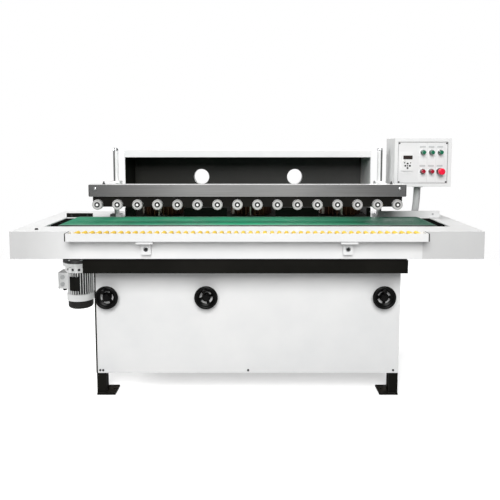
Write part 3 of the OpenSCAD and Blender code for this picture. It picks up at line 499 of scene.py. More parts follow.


# Painted shade on the table: black inside it and under the hood, and darker ends on the apron.
own_finish["table_frame"] = finish(
    "table_paint_and_painted_shade", table_tone_with_shade(WHITE, rgb(0.61, 0.61, 0.605), BLACK),
    table_tone_with_shade(WHITE_DULL, grey(0.57), BLACK_DULL), 0.42, PRIMER, 0.25, dust=0.05)
# Painted shade inside the hood, lightening towards the outfeed, and painted light on its right
# wall.
own_finish["dust_hood"] = finish(
    "hood_paint_and_painted_shade", hood_tone_with_shade(WHITE, rgb(0.014, 0.0142, 0.0105), rgb(0.065, 0.065, 0.063)),
    hood_tone_with_shade(WHITE_DULL, rgb(0.018, 0.018, 0.014), rgb(0.050, 0.050, 0.048)),
    0.46, PRIMER, 0.15, dust=0.06, shine=0.25)
print("hood:", [round(v, 3) for v in hood_high - hood_low])

# %% Motor, wheels, rollers and handwheels
motor_low, motor_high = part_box("feed_motor")
fan_low, fan_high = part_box("motor_fan")
motor_axis = (fan_low + fan_high) / 2
FIN_ROOT_R, FIN_FOOT, FIN_TOP = 0.0685, 0.041, 0.059
BELL_R, SLOT_FOOT, SLOT_TOP = 0.087, 0.0465, 0.0315


def fin_gap_shade(tree):
    """Painted shade in the gaps between the fins and in the slots of the bell."""
    away = radius(tree, offset(tree, "X", motor_axis.x), offset(tree, "Y", motor_axis.y))
    tall = between(tree, "Z", motor_low.z + FIN_FOOT, motor_high.z - FIN_TOP)
    gaps = times(tree, below(tree, away, FIN_ROOT_R + 0.004, 0.003), tall)
    tall = between(tree, "Z", motor_high.z - SLOT_FOOT, motor_high.z - SLOT_TOP)
    return either(tree, gaps, times(tree, below(tree, away, BELL_R - 0.003, 0.001), tall))


# Painted shade: near black between the fins and in the bell's slots.
finishes["motor_alloy"] = finish(
    "motor_paint_and_fin_shade", two_tone(fin_gap_shade, rgb(0.74, 0.745, 0.74), grey(0.006)),
    two_tone(fin_gap_shade, rgb(0.66, 0.665, 0.66), rgb(0.012, 0.012, 0.011)), 0.36, STEEL, 0.3,
    edge=0.0012, peel=300.0, dust=0.12)

wheel_low, wheel_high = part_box("pressure_wheel_01")
wheel_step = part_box("pressure_wheel_02")[0].x - wheel_low.x
wheel_at = (wheel_low + wheel_high) / 2
wheel_r = (wheel_high.z - wheel_low.z) / 2
WHEEL_TEETH, TOOTH_DEPTH, TOOTH_SHADE = 22, 0.0065, 0.85
GROOVE_IN, GROOVE_OUT, AXLE_BRIGHT_R, RIM_SOFT = 0.0070, 0.0152, 0.0068, 0.0004


def wheel_offsets(tree):
    """Offsets from the nearest wheel's axle: the wheels stand at even steps along X."""
    half = wheel_step / 2
    across = calc(tree, "WRAP", offset(tree, "X", wheel_at.x), half, -half)
    return across, offset(tree, "Z", wheel_at.z)


# Painted shade in the gaps between the wheel's teeth.
def tooth_gap_shade(tree):
    across, up = wheel_offsets(tree)
    turn = times(tree, calc(tree, "ARCTAN2", up, across), WHEEL_TEETH)
    notches = span(tree, calc(tree, "COSINE", turn), 0.0, 0.75)
    rim = above(tree, radius(tree, across, up), wheel_r - TOOTH_DEPTH, 0.0025)
    return times(tree, times(tree, notches, rim), TOOTH_SHADE)


def hub_groove(tree):
    away = radius(tree, *wheel_offsets(tree))
    outer = below(tree, away, GROOVE_OUT, RIM_SOFT)
    return times(tree, above(tree, away, GROOVE_IN, RIM_SOFT), outer)


def axle_heads(tree):
    """The bright middle of each axle's head."""
    middle = below(tree, radius(tree, *wheel_offsets(tree)), AXLE_BRIGHT_R, RIM_SOFT)
    return times(tree, short_of(tree, "Y", wheel_low.y + 0.001), middle)


def wheel_tone(tread, dark):
    return two_tone(hub_groove, two_tone(tooth_gap_shade, tread, dark), dark)


finishes["tread_grey"] = finish(
    "wheel_tread", wheel_tone(rgb(0.58, 0.575, 0.57), grey(0.005)),
    wheel_tone(rgb(0.44, 0.435, 0.43), grey(0.008)), 0.55, grey(0.8), 0.4,
    edge=0.0008, peel=500.0, depth=0.0002)
own_finish["wheel_channel"] = finish(
    "channel_enamel", two_tone(axle_heads, BLACK, grey(0.92)),
    two_tone(axle_heads, BLACK_DULL, grey(0.88)), 0.36, STEEL_DULL, 0.25, edge=0.001, shine=0.15)

rollers_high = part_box("rail_rollers")[1]
TYRE_T = 0.0035


def roller_hubs(tree):
    """The flat ends of the small rollers, below the rim of their tyres."""
    sideways = calc(tree, "ABSOLUTE", parts_of(tree, facing(tree))["Y"])
    rim = short_of(tree, "Z", rollers_high.z - TYRE_T, RIM_SOFT)
    return times(tree, above(tree, sideways, 0.7, 0.05), rim)


finishes["roller_yellow"] = finish(
    "yellow_rollers", two_tone(roller_hubs, rgb(0.90, 0.64, 0.07), WHITE),
    two_tone(roller_hubs, rgb(0.80, 0.54, 0.05), WHITE_DULL), 0.45, rgb(0.9, 0.75, 0.4), 0.4,
    edge=0.001, peel=700.0)

cabinet_low, cabinet_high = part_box("cabinet_front")


def screw_part(tree):
    """The handwheel's screw, behind the cabinet's front."""
    return past(tree, "Y", cabinet_low.y - 0.004)


finishes["black_gloss"] = finish(
    "handwheel_gloss", two_tone(screw_part, grey(0.003), STEEL),
    two_tone(screw_part, grey(0.005), STEEL_DULL), 0.34, grey(0.03), 0.3, edge=0.0015,
    metallic=screw_part, spread=0.04, shine=0.12)
print("finishes:", len(finishes), "by slot,", len(own_finish), "by solid")

# %% [markdown]
# ## Belt and abrasive
# The feed belt is a green coated fabric. In use it is polished in lanes and greyed by dust, and
# painted shade darkens it towards both ends, most towards the outfeed, so its tone drifts along
# the feed as well as across it; a painted shadow darkens its near edge. The flap drums are
# abrasive cloth: every flap has its own brown tone and some carry a pale painted highlight, each
# from its number round the drum, counted from the angle about the spindle.

# %% Belt finish
belt_low, belt_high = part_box("conveyor_belt")
OUTFEED_FROM, OUTFEED_SHORT, INFEED_FROM = 0.20, 0.25, -0.35
FRONT_RIM, REAR_RIM, SIDE_SHADE_W = 0.022, 0.012, 0.008
belt_cloth, tree, shader = new_material("green_belt")
weave = place_group(tree, "cloth_weave", Threads=700.0)
lanes = place_group(tree, "drawn_lines", Stretch=(2.2, 26.0, 8.0))
green = blend(tree, weave["Tone"], rgb(0.014, 0.430, 0.205), rgb(0.029, 0.235, 0.136))
# Painted shade: the belt darkens towards both ends, most towards the outfeed.
belt_end_shade = span(tree, at(tree, "X"), OUTFEED_FROM, belt_high.x - OUTFEED_SHORT, 0.0, 0.95)
belt_end_shade = either(tree, belt_end_shade, span(tree, at(tree, "X"), INFEED_FROM, belt_low.x, 0.0, 0.45))
front_rim = short_of(tree, "Y", belt_low.y + FRONT_RIM, 0.008)
rims = either(tree, front_rim, past(tree, "Y", belt_high.y - REAR_RIM, 0.006))
dust = place_group(tree, "settled_dust", Amount=0.10)["Mask"]
for mask, colour in (
    (times(tree, lanes["Streak"], 0.40), rgb(0.11, 0.21, 0.165)),
    (belt_end_shade, rgb(0.012, 0.075, 0.045)),
    (times(tree, rims, span(tree, belt_end_shade, 0.0, 1.0, 0.7, 0.35)), rgb(0.34, 0.38, 0.355)),
    (times(tree, dust, span(tree, belt_end_shade, 0.0, 1.0, 1.0, 0.15)), rgb(0.5, 0.5, 0.42)),
    # Painted shadow along the belt's near edge.
    (short_of(tree, "Y", belt_low.y + SIDE_SHADE_W, 0.001), BLACK_DULL),
):
    green = blend(tree, mask, green, colour)
grip = shader_node(tree, "Bump", Strength=0.4, Distance=0.0002, Height=weave["Height"])
feed(tree, shader, Base_Color=green, Normal=grip.outputs[0], Specular_IOR_Level=0.25,
     Roughness=span(tree, lanes["Streak"], 0.0, 1.0, 0.5, 0.68))
finishes["belt_green"] = belt_cloth
print("belt:", [round(v, 3) for v in belt_high - belt_low])

# %% Drum finish
FLAPS = 28
DISC_R, DISC_T, DRUM_H = 0.081, 0.008, 0.140


def drum_finish(side):
    """Painted shade on the spindle and discs, a brown tone of its own for every flap, and a pale
    painted highlight on some flaps.
    """
    low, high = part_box(f"sanding_drum_{side}")
    centre = (low + high) / 2
    foot = high.z - DRUM_H
    made, tree, shader = new_material(f"flap_cloth_{side}")
    dx, dy = offset(tree, "X", centre.x), offset(tree, "Y", centre.y)
    angle = calc(tree, "ARCTAN2", dy, dx)
    number = calc(tree, "FLOOR", times(tree, angle, FLAPS / (2 * math.pi)))
    dice = shader_node(tree, "TexWhiteNoise", {"noise_dimensions": "1D"}, W=number)
    flap_age_and_highlight = dice.outputs["Value"]
    browns = rgb(0.028, 0.011, 0.007), rgb(0.095, 0.038, 0.018)
    cloth = blend(tree, span(tree, flap_age_and_highlight, 0.15, 0.55), *browns)
    # Painted highlight: some flaps take a pale tone for the light on their edges.
    cloth = blend(tree, span(tree, flap_age_and_highlight, 0.76, 0.80), cloth, rgb(0.50, 0.47, 0.41))
    grains = span(tree, noise(tree, 420.0, 2.0), 0.45, 0.7, 0.0, 0.45)
    cloth = blend(tree, grains, cloth, rgb(0.03, 0.012, 0.008))
    # Painted shade: the discs and the spindle are near black.
    caps = either(tree, short_of(tree, "Z", foot + DISC_T), past(tree, "Z", high.z - DISC_T))
    discs = times(tree, below(tree, radius(tree, dx, dy), DISC_R), caps)
    steel = either(tree, discs, short_of(tree, "Z", foot - SKIN))
    grit = shader_node(tree, "Bump", Strength=0.5, Distance=0.0004,
                       Height=noise(tree, 1500.0, 1.0))
    feed(tree, shader, Base_Color=blend(tree, steel, cloth, rgb(0.022, 0.021, 0.020)),
         Normal=grit.outputs[0], Roughness=span(tree, steel, 0.0, 1.0, 0.85, 0.45),
         Specular_IOR_Level=0.2)
    return made


for side in ("left", "middle", "right"):
    own_finish[f"sanding_drum_{side}"] = drum_finish(side)
print("flaps on each drum:", FLAPS)

# %% [markdown]
# ## Beam, plate and fences
# The pressure beam is a steel tube, ground along its length and darker towards its ends, with a
# painted highlight on its top. The control plate's raised parts are told apart by how far they
# stand out: printed strips first, then the keypad, then the black collars of the buttons, and
# painted shade darkens its rim. The lift posts are polished rods whose colour is a painted
# reflection of the white room, with a dark band along their outer side.

# %% Finishes for single pieces
beam_low, beam_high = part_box("pressure_beam")
BEAM_PLAIN, BEAM_SKIN, SLEEVE_SHOWS = 0.30, 0.0006, 0.022


# Painted highlight: the beam's top face is near white.
def beam_top_highlight(tree):
    return past(tree, "Z", beam_high.z - BEAM_SKIN)


def beam_ends(tree):
    return span(tree, from_middle(tree), BEAM_PLAIN, beam_high.x)


def sleeves(tree):
    """The tops of the carriers' sleeves."""
    return past(tree, "Z", beam_high.z - SLEEVE_SHOWS)


def beam_tone(light, dark):
    return two_tone(beam_top_highlight, two_tone(beam_ends, grey(light), grey(dark)), grey(0.92))


# The top face carries a painted highlight.
own_finish["pressure_beam"] = finish(
    "ground_beam", beam_tone(0.280, 0.145), beam_tone(0.205, 0.100), 0.46, grey(0.5), 0.5,
    edge=0.0015, metallic=0.55, stretch=(2.5, 260, 260), dust=0.12)
own_finish["beam_carriers"] = finish(
    "beam_carriers", two_tone(sleeves, BLACK, grey(0.85)),
    two_tone(sleeves, BLACK_DULL, grey(0.78)), 0.4, STEEL, 0.3, edge=0.0015, dust=0.1, shine=0.3)

collar_low, collar_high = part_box("control_plate")
plate_mid, plate_half = (collar_low + collar_high) / 2, (collar_high - collar_low) / 2
plate_front = collar_high.y - SHEET
RIM_W, STRIPS_OVER, KEYPAD_OVER, COLLARS_OVER = 0.0032, 0.0008, 0.003, 0.0065


# Painted shade: a dark grey band along the plate's rim.
def plate_rim_shade(tree):
    sides = []
    for axis, middle, half in (("X", plate_mid.x, plate_half.x), ("Z", plate_mid.z, plate_half.z)):
        away = calc(tree, "ABSOLUTE", offset(tree, axis, middle))
        sides.append(above(tree, away, half - RIM_W, 0.0003))
    return either(tree, *sides)


def raised(height):
    """A mask of what stands out of the plate further than height."""
    def mask(tree):
        return above(tree, calc(tree, "SUBTRACT", plate_front, at(tree, "Y")), height)
    return mask


def plate_tone(panel, strip, keypad, collar):
    tone = two_tone(plate_rim_shade, panel, grey(0.24))
    for over, step in ((STRIPS_OVER, strip), (KEYPAD_OVER, keypad), (COLLARS_OVER, collar)):
        tone = two_tone(raised(over), tone, step)
    return tone


own_finish["control_plate"] = finish(
    "panel_sheet", plate_tone(grey(0.79), grey(0.82), rgb(0.81, 0.81, 0.805), grey(0.02)),
    plate_tone(grey(0.75), grey(0.79), rgb(0.77, 0.77, 0.765), grey(0.03)),
    0.4, grey(0.4), 0.3, edge=0.0008)

guide_low, guide_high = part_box("outfeed_fence")
post_low, post_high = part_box("lift_posts")
POST_D, FOOT_OVER, GUIDE_BRIGHT = 0.030, 0.040, 0.05
post_x, post_y = post_high.x - (POST_D + FOOT_OVER) / 2, (post_low.y + post_high.y) / 2


def along_guide(tree):
    return span(tree, at(tree, "X"), guide_low.x, guide_high.x - GUIDE_BRIGHT)


# Painted reflection: a dark band along the post's outer side, light grey elsewhere.
def post_reflection_band(tree):
    return span(tree, calc(tree, "SUBTRACT", from_middle(tree), post_x), -0.001, 0.003)


own_finish["outfeed_fence"] = finish(
    "outfeed_plate", two_tone(along_guide, grey(0.36), grey(0.80)),
    two_tone(along_guide, grey(0.28), grey(0.70)), 0.4, STEEL, 0.4, edge=0.001,
    stretch=(3, 400, 400), dust=0.10)
own_finish["lift_posts"] = finish(
    "posts_painted_reflection", two_tone(post_reflection_band, grey(0.86), grey(0.13)),
    two_tone(post_reflection_band, grey(0.80), grey(0.07)), 0.3, STEEL, 0.3, edge=0.001,
    stretch=(300, 300, 60))
own_finish["control_arm"] = finish(
    "arm_paint", rgb(0.55, 0.552, 0.552), rgb(0.48, 0.482, 0.482), 0.3, STEEL, 0.3)
print("finishes for single pieces:", len(own_finish))

# %% Give every solid its finish
for row in frame["record"]["subparts"]:
    solid = frame["nodes"][row["node"]]
    solid.data.materials.clear()
    solid.data.materials.append(own_finish.get(row["node"]) or finishes[row["material_slot"]])

# %% [markdown]
# ## Building fittings in mesh code
# Bolts, caps and plates are either turned or cut from sheet, so two builders make nearly all of
# them: one turns a profile of radius and height about an axis, the other raises a plate with
# rounded corners and a broken edge. Each stands on a surface by a matrix whose Z points out of it.

# %% Builders
UP, DOWN, FRONT, BACK, LEFT = (0, 0, 1), (0, 0, -1), (0, -1, 0), (0, 1, 0), (-1, 0, 0)
SIDES = (-1, 1)
SMOOTH_BELOW, CORNER_STEPS = math.radians(32), 5
fittings = []


def meshes(count):
    return [bmesh.new() for _ in range(count)]


def stand(centre, normal=UP):
    """A matrix with its origin on a surface and its Z along the outward normal."""
    if normal == UP:
        turn = Matrix.Identity(4)
    elif normal == DOWN:
        turn = Matrix.Rotation(math.pi, 4, "X")
    else:
        turn = Vector(normal).to_track_quat("Z", "Y").to_matrix().to_4x4()
    return Matrix.Translation(Vector(centre)) @ turn


def on_circle(count, r, start=0.0):
    """Points at even steps round a circle, from a start in degrees."""
    angles = [math.radians(start + 360 / count * k) for k in range(count)]
    return [(r * math.cos(a), r * math.sin(a)) for a in angles]


def join_rings(mesh, rings):
    """Faces between rings of equal length; a ring of one point closes to a tip."""
    for one, two in zip(rings, rings[1:]):
        count = max(len(one), len(two))
        for k in range(count):
            n = (k + 1) % count
            corners = [one[k % len(one)], one[n % len(one)], two[n % len(two)], two[k % len(two)]]
            mesh.faces.new(list(dict.fromkeys(corners)))


def turned(mesh, profile, place, steps=28):
    """Turn (radius, height) points about Z, a radius of 0 as one point, and close open ends."""
    rings = []
    for r, h in profile:
        around = on_circle(steps, r) if r > 0 else [(0, 0)]
        rings.append([mesh.verts.new(place @ Vector((x, y, h))) for x, y in around])
    open_ends = [ring for ring in (rings[0], rings[-1]) if len(ring) > 1]
    if len(open_ends) == 2:
        rings.append(rings[0])
        open_ends = []
    join_rings(mesh, rings)
    for ring in open_ends:
        mesh.faces.new(ring)


def sheet_plate(mesh, width, height, thick, place, corner, edge):
    """A plate with rounded corners and a broken front edge, its back on the surface."""
    outline = []
    for sx, sy, start in ((1, 1, 0), (-1, 1, 90), (-1, -1, 180), (1, -1, 270)):
        x, y = sx * (width / 2 - corner), sy * (height / 2 - corner)
        for k in range(CORNER_STEPS + 1):
            a = math.radians(start + 90 * k / CORNER_STEPS)
            outline.append((x + corner * math.cos(a), y + corner * math.sin(a)))
    rings = []
    for inset, z in ((0, 0), (0, thick - edge), (edge, thick)):
        kx, ky = 1 - 2 * inset / width, 1 - 2 * inset / height
        rings.append([mesh.verts.new(place @ Vector((x * kx, y * ky, z))) for x, y in outline])
    join_rings(mesh, rings)
    mesh.faces.new(rings[-1])
    mesh.faces.new(rings[0])


def hex_bolt(mesh, place, size, washer=True):
    """A hexagon head with a turned crown, on its washer."""
    lift = 0.0
    if washer:
        rim, lift = size * 1.05, size * 0.16
        turned(mesh, [(0, 0), (rim, 0), (rim, lift), (0, lift)], place, steps=24)
    r, crown, top = size * 0.95, lift + size * 0.65 * 0.86, lift + size * 0.65
    turned(mesh, [(0, lift), (r, lift), (r, crown), (r * 0.88, top), (0, top)], place, steps=6)


def socket_screw(mesh, place, size):
    """A round head with a socket sunk in it."""
    r, h = size * 0.5, size * 0.34
    head = [(r, 0), (r, h * 0.6), (r * 0.86, h)]
    sunk = [(r * 0.46, h), (r * 0.42, h * 0.25), (0, h * 0.25)]
    turned(mesh, head + sunk, place, steps=20)


def screw_rows(mesh, centre, normal, half_w, half_h, size, columns=SIDES):
    """Two rows of socket screws on an upright plate."""
    x, y, z = centre
    for column in columns:
        for row in SIDES:
            side, up = column * half_w, z + row * half_h
            spot = (x, y + side, up) if normal == LEFT else (x + side, y, up)
            socket_screw(mesh, stand(spot, normal), size)


def piece(name, mesh, look, body="frame"):
    """Make the object, smooth what is round, and let it ride on a body."""
    finish_used, slot = look
    bmesh.ops.recalc_face_normals(mesh, faces=mesh.faces[:])
    data = bpy.data.meshes.new(name)
    mesh.to_mesh(data)
    mesh.free()
    data.shade_smooth()
    data.set_sharp_from_angle(angle=SMOOTH_BELOW)
    data.materials.append(finish_used)
    made = bpy.data.objects.new(name, data)
    scene.collection.objects.link(made)
    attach(made, body)
    fittings.append(name)


# A look pairs a finish with a slot name.
zinc = finish("zinc_screws", rgb(0.62, 0.63, 0.64), rgb(0.48, 0.49, 0.50), 0.3, grey(0.7), 0.3,
              edge=0.0006, metallic=1.0, peel=900.0), "bare_steel"
burnished = finish("burnished_screws", grey(0.03), grey(0.05), 0.36, STEEL, 0.4, edge=0.0006,
                   metallic=0.8, peel=900.0), "dark_casting"
moulding, white, alloy, grey_coat, casting = [(finishes[slot], slot) for slot in (
    "black_plastic", "white_paint", "motor_alloy", "grey_paint", "dark_casting")]
print("builders ready")

# %% [markdown]
# ## Roller rail and table
# Black caps close the ends of the pull-out rail, and one socket screw with a broad washer holds
# each bracket's stem to the apron. The caps slide out with the rail, so they ride on it.

# %% Rail caps and bracket screws
rail_low, rail_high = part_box("roller_rail")
bracket_low, bracket_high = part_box("rail_brackets")
RAIL_D, RAIL_H, CAP_T, CAP_SHORT, CAP_OVER = 0.070, 0.040, 0.006, 0.0012, 0.0016
STEM_FRONT, STEM_BOLT_RISE, SHELF_HALF = 0.020, 0.029, 0.0425
TABLE_SCREW_IN, TABLE_SCREW_BACK = 0.115, 0.058
BROAD_WASHER = [(0.0125, 0), (0.0125, 0.0016), (0.0118, 0.0022), (0.0070, 0.0022)]
SCREW_SEAT = 0.0018
caps, screws, washers, single = meshes(4)
for side in SIDES:
    end = (side * rail_high.x, rail_low.y + RAIL_D / 2, table_high.z - RAIL_H / 2)
    sheet_plate(caps, RAIL_D - CAP_SHORT, RAIL_H + CAP_OVER, CAP_T, stand(end, (side, 0, 0)),
                corner=0.004, edge=0.0015)
    x = side * (bracket_high.x - SHELF_HALF)
    place = stand((x, table_low.y - STEM_FRONT, bracket_low.z + STEM_BOLT_RISE), FRONT)
    turned(washers, BROAD_WASHER, place)
    socket_screw(screws, place @ Matrix.Translation((0, 0, SCREW_SEAT)), size=0.0145)
spot = (table_low.x + TABLE_SCREW_IN, table_low.y + TABLE_SCREW_BACK, table_high.z)
hex_bolt(single, stand(spot), size=0.009)
piece("rail_end_caps", caps, moulding, "roller_rail")
piece("bracket_screws", screws, burnished)
piece("bracket_washers", washers, zinc)
piece("table_screw", single, burnished)
print("fittings:", fittings)

# %% [markdown]
# ## Cabinet
# The front sheet is held by small screws along its lower edge, and a black strip at its left
# end is painted shade in the joint. Two screwed covers at the back give access to the drum
# motors; the photograph doesn't show that side, so they are kept plain.

# %% Cabinet screws, shade strip and rear covers
panel_low, panel_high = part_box("cabinet_panels")
SCREW_RISE, CABINET_SCREW = 0.016, 0.012
SHADE_STRIP_W, SHADE_STRIP_T = 0.008, 0.0016
COVER_W, COVER_H, COVER_T, COVER_X, SCREW_IN = 0.62, 0.40, 0.002, 0.39, 0.02
screws, shade_strip, covers, cover_screws = meshes(4)
for x in (cabinet_low.x + 0.021, cabinet_low.x + 0.037, 0.004, cabinet_high.x - 0.029):
    place = stand((x, cabinet_low.y, cabinet_low.z + SCREW_RISE), FRONT)
    socket_screw(screws, place, size=CABINET_SCREW)
middle_z = (cabinet_low.z + cabinet_high.z) / 2
# Painted shade: a black strip stands in for the shadow in the joint at the cabinet's left edge.
place = stand((cabinet_low.x + SHADE_STRIP_W / 2, cabinet_low.y, middle_z), FRONT)
tall = cabinet_high.z - cabinet_low.z - 0.001
sheet_plate(shade_strip, SHADE_STRIP_W, tall, SHADE_STRIP_T, place, corner=0.001, edge=0.0005)
middle_z = (panel_low.z + panel_high.z) / 2
for side in SIDES:
    place = stand((side * COVER_X, panel_high.y, middle_z), BACK)
    sheet_plate(covers, COVER_W, COVER_H, COVER_T, place, corner=0.02, edge=0.0008)
    screw_rows(cover_screws, (side * COVER_X, panel_high.y + COVER_T, middle_z), BACK,
               COVER_W / 2 - SCREW_IN, COVER_H / 2 - SCREW_IN, CABINET_SCREW, columns=(-1, 0, 1))
piece("cabinet_screws", screws, burnished)
piece("cabinet_edge_shade_strip", shade_strip, moulding)
piece("rear_covers", covers, white)
piece("rear_cover_screws", cover_screws, burnished)
print("fittings:", len(fittings))

# %% [markdown]
# ## Pressure unit
# Bright bolts near the beam's ends clamp it to its carriers, dark studs stand on its top and
# plastic plugs close the tube. Each lift post has a cap and two bolts through its foot. Beam
# fittings ride on the pressure unit, post fittings on the frame.

# %% Beam and post fittings
BEAM_BOLT_IN, BEAM_BOLT_DOWN, STUD_IN, PLUG_GAP, PLUG_T = 0.034, 0.022, 0.074, 0.002, 0.004
DOME = [(0.0092, 0), (0.0092, 0.002), (0.0078, 0.0055), (0.004, 0.0075), (0, 0.008)]
STUD_END = [(0.004, 0.004), (0.004, 0.014), (0.003, 0.016), (0, 0.016)]
POST_CAP = [(0.0156, -0.010), (0.0156, 0.001), (0.0135, 0.0045), (0.006, 0.006), (0, 0.0062)]
POST_BOLT_OUT, POST_FOOT_T = 0.026, 0.016
beam_mid = (beam_low + beam_high) / 2
plug_w = beam_high.y - beam_low.y - PLUG_GAP
plug_h = beam_high.z - beam_low.z - PLUG_GAP
beam_bolts, studs, plugs, caps, post_bolts = meshes(5)
for side in SIDES:
    spot = (side * (beam_high.x - BEAM_BOLT_IN), beam_low.y, beam_high.z - BEAM_BOLT_DOWN)
    turned(beam_bolts, DOME, stand(spot, FRONT))
    place = stand((side * (beam_high.x - STUD_IN), beam_mid.y, beam_high.z))
    hex_bolt(studs, place, size=0.008)
    turned(studs, STUD_END, place, steps=16)
    place = stand((side * beam_high.x, beam_mid.y, beam_mid.z), (side, 0, 0))
    sheet_plate(plugs, plug_w, plug_h, PLUG_T, place, corner=0.004, edge=0.0015)
    turned(caps, POST_CAP, stand((side * post_x, post_y, post_high.z)))
    for out in SIDES:
        spot = (side * post_x + out * POST_BOLT_OUT, post_y, table_high.z + POST_FOOT_T)
        hex_bolt(post_bolts, stand(spot), size=0.0065)
piece("beam_bolts", beam_bolts, zinc, "pressure_unit")
piece("beam_studs", studs, burnished, "pressure_unit")
piece("beam_plugs", plugs, moulding, "pressure_unit")
piece("post_caps", caps, zinc)
piece("post_bolts", post_bolts, zinc)
print("fittings:", len(fittings))

# %% [markdown]
# ## Feed drive
# The motor hangs from the gearbox by a ring of bolts through the two flanges. A blank plate lies
# round its fins. Its terminal box has a lid with four screws, two closed cable entries at the
# front and a gland below. A cover closes the gearbox where the roller's shaft ends.

# %% Flange bolts and motor plate
FLANGE_BOLT_R, FLANGE_T = 0.0935, 0.020
PLATE_IN, PLATE_OUT, PLATE_H, PLATE_FOOT = 0.0765, 0.0800, 0.086, 0.066
PLATE_FROM, PLATE_TO, PLATE_STEPS = -128, -80, 12
bolts, plate = meshes(2)
for dx, dy in on_circle(8, FLANGE_BOLT_R, 22.5):
    x, y = motor_axis.x + dx, motor_axis.y + dy
    hex_bolt(bolts, stand((x, y, motor_high.z + FLANGE_T)), size=0.006)
    hex_bolt(bolts, stand((x, y, motor_high.z - FLANGE_T), DOWN), size=0.006)
low, high = motor_low.z + PLATE_FOOT, motor_low.z + PLATE_FOOT + PLATE_H
section = ((PLATE_IN, low), (PLATE_OUT, low), (PLATE_OUT, high), (PLATE_IN, high))
rows = []
for k in range(PLATE_STEPS + 1):
    a = math.radians(PLATE_FROM + (PLATE_TO - PLATE_FROM) * k / PLATE_STEPS)
    dx, dy = math.cos(a), math.sin(a)
    rows.append([plate.verts.new((motor_axis.x + r * dx, motor_axis.y + r * dy, z))
                 for r, z in section])
join_rings(plate, rows)
plate.faces.new(rows[0])
plate.faces.new(rows[-1])
plate_black = finish("blank_plate", rgb(0.004, 0.004, 0.0035), rgb(0.007, 0.007, 0.006), 0.5,
                     grey(0.03), 0.3, edge=0.0004, shine=0.05), "black_plastic"
piece("flange_bolts", bolts, zinc)
piece("motor_plate", plate, plate_black)
print("fittings:", len(fittings))

# %% Terminal box and gearbox cover
BOX_W, BOX_H, BOX_FOOT = 0.090, 0.100, 0.072
LID_OVER, LID_T, LID_SCREW_Y, LID_SCREW_Z = 0.004, 0.006, 0.038, 0.043
ENTRY_IN, ENTRY_UP, GLAND_IN = 0.020, 0.022, 0.018
ENTRY = [(0.0135, 0), (0.0135, 0.003), (0.0120, 0.0042), (0.0098, 0.0042), (0.0094, 0.002),
         (0, 0.002)]
GLAND_NUT = [(0, 0), (0.013, 0), (0.013, 0.007), (0.0095, 0.007), (0.0095, 0.009)]
GLAND_CAP = [(0.0115, 0.009), (0.0115, 0.017), (0.0095, 0.020), (0.005, 0.021), (0, 0.021)]
GEARBOX_HALF, COVER_BOLT_R, COVER_FACE, COVER_TOP = 0.045, 0.027, 0.0065, 0.0085
SHAFT_COVER = [(0.037, 0), (0.037, 0.004), (0.0345, COVER_FACE), (0.013, COVER_FACE),
               (0.011, COVER_TOP), (0, COVER_TOP)]
box_mid = Vector((motor_low.x, motor_axis.y, motor_low.z + BOX_FOOT + BOX_H / 2))
lid, screws, entries, gland, cover, bolts = meshes(6)
place = stand(box_mid, LEFT)
sheet_plate(lid, BOX_W + LID_OVER, BOX_H + LID_OVER, LID_T, place, corner=0.006, edge=0.0015)
screw_rows(screws, box_mid - Vector((LID_T, 0, 0)), LEFT, LID_SCREW_Y, LID_SCREW_Z, size=0.009)
for side in SIDES:
    spot = box_mid + Vector((ENTRY_IN, -BOX_W / 2, side * ENTRY_UP))
    turned(entries, ENTRY, stand(spot, FRONT))
place = stand(box_mid + Vector((GLAND_IN, 0, -BOX_H / 2)), DOWN)
turned(gland, GLAND_NUT, place, steps=6)
turned(gland, GLAND_CAP, place)
shaft_low, shaft_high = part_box("drive_roller")
shaft_mid = (shaft_low + shaft_high) / 2
place = stand((shaft_mid.x, motor_axis.y + GEARBOX_HALF, shaft_mid.z), BACK)
turned(cover, SHAFT_COVER, place, steps=36)
for dx, dy in on_circle(6, COVER_BOLT_R):
    hex_bolt(bolts, place @ Matrix.Translation((dx, dy, COVER_FACE)), size=0.0045, washer=False)
piece("terminal_lid", lid, alloy)
piece("terminal_screws", screws, zinc)
piece("cable_entries", entries, grey_coat)
piece("cable_gland", gland, plate_black)
piece("gearbox_cover", cover, casting)
piece("gearbox_bolts", bolts, zinc)
print("fittings:", len(fittings))

# %% [markdown]
# ## Control plate
# The keypad at the left holds a display, a small dial and a cross of keys; the strips at the
# right hold the push buttons, with a blank label plate over each. Every button sits in a bright
# ring on its black collar. The plates carry no lettering.

# %% Display, keys and labels
KEYPAD_LEFT, KEYPAD_OUT, KEYPAD_UP = 0.092, 0.006, 0.004
DISPLAY_OFF, CROSS_OFF = (0.004, 0, 0.0265), (0.003, 0, -0.022)
# Width, height and thickness
BEZEL, GLASS, LABEL = (0.053, 0.0215, 0.002), (0.045, 0.0150, 0.0005), (0.034, 0.010, 0.0008)
KEY_T, LABEL_UP = 0.0022, 0.032
GREEN_UP, RED_UP, STRIP_LEFT, STRIP_STEP, STRIP_OUT = 0.060, -0.050, 0.002, 0.050, 0.0015
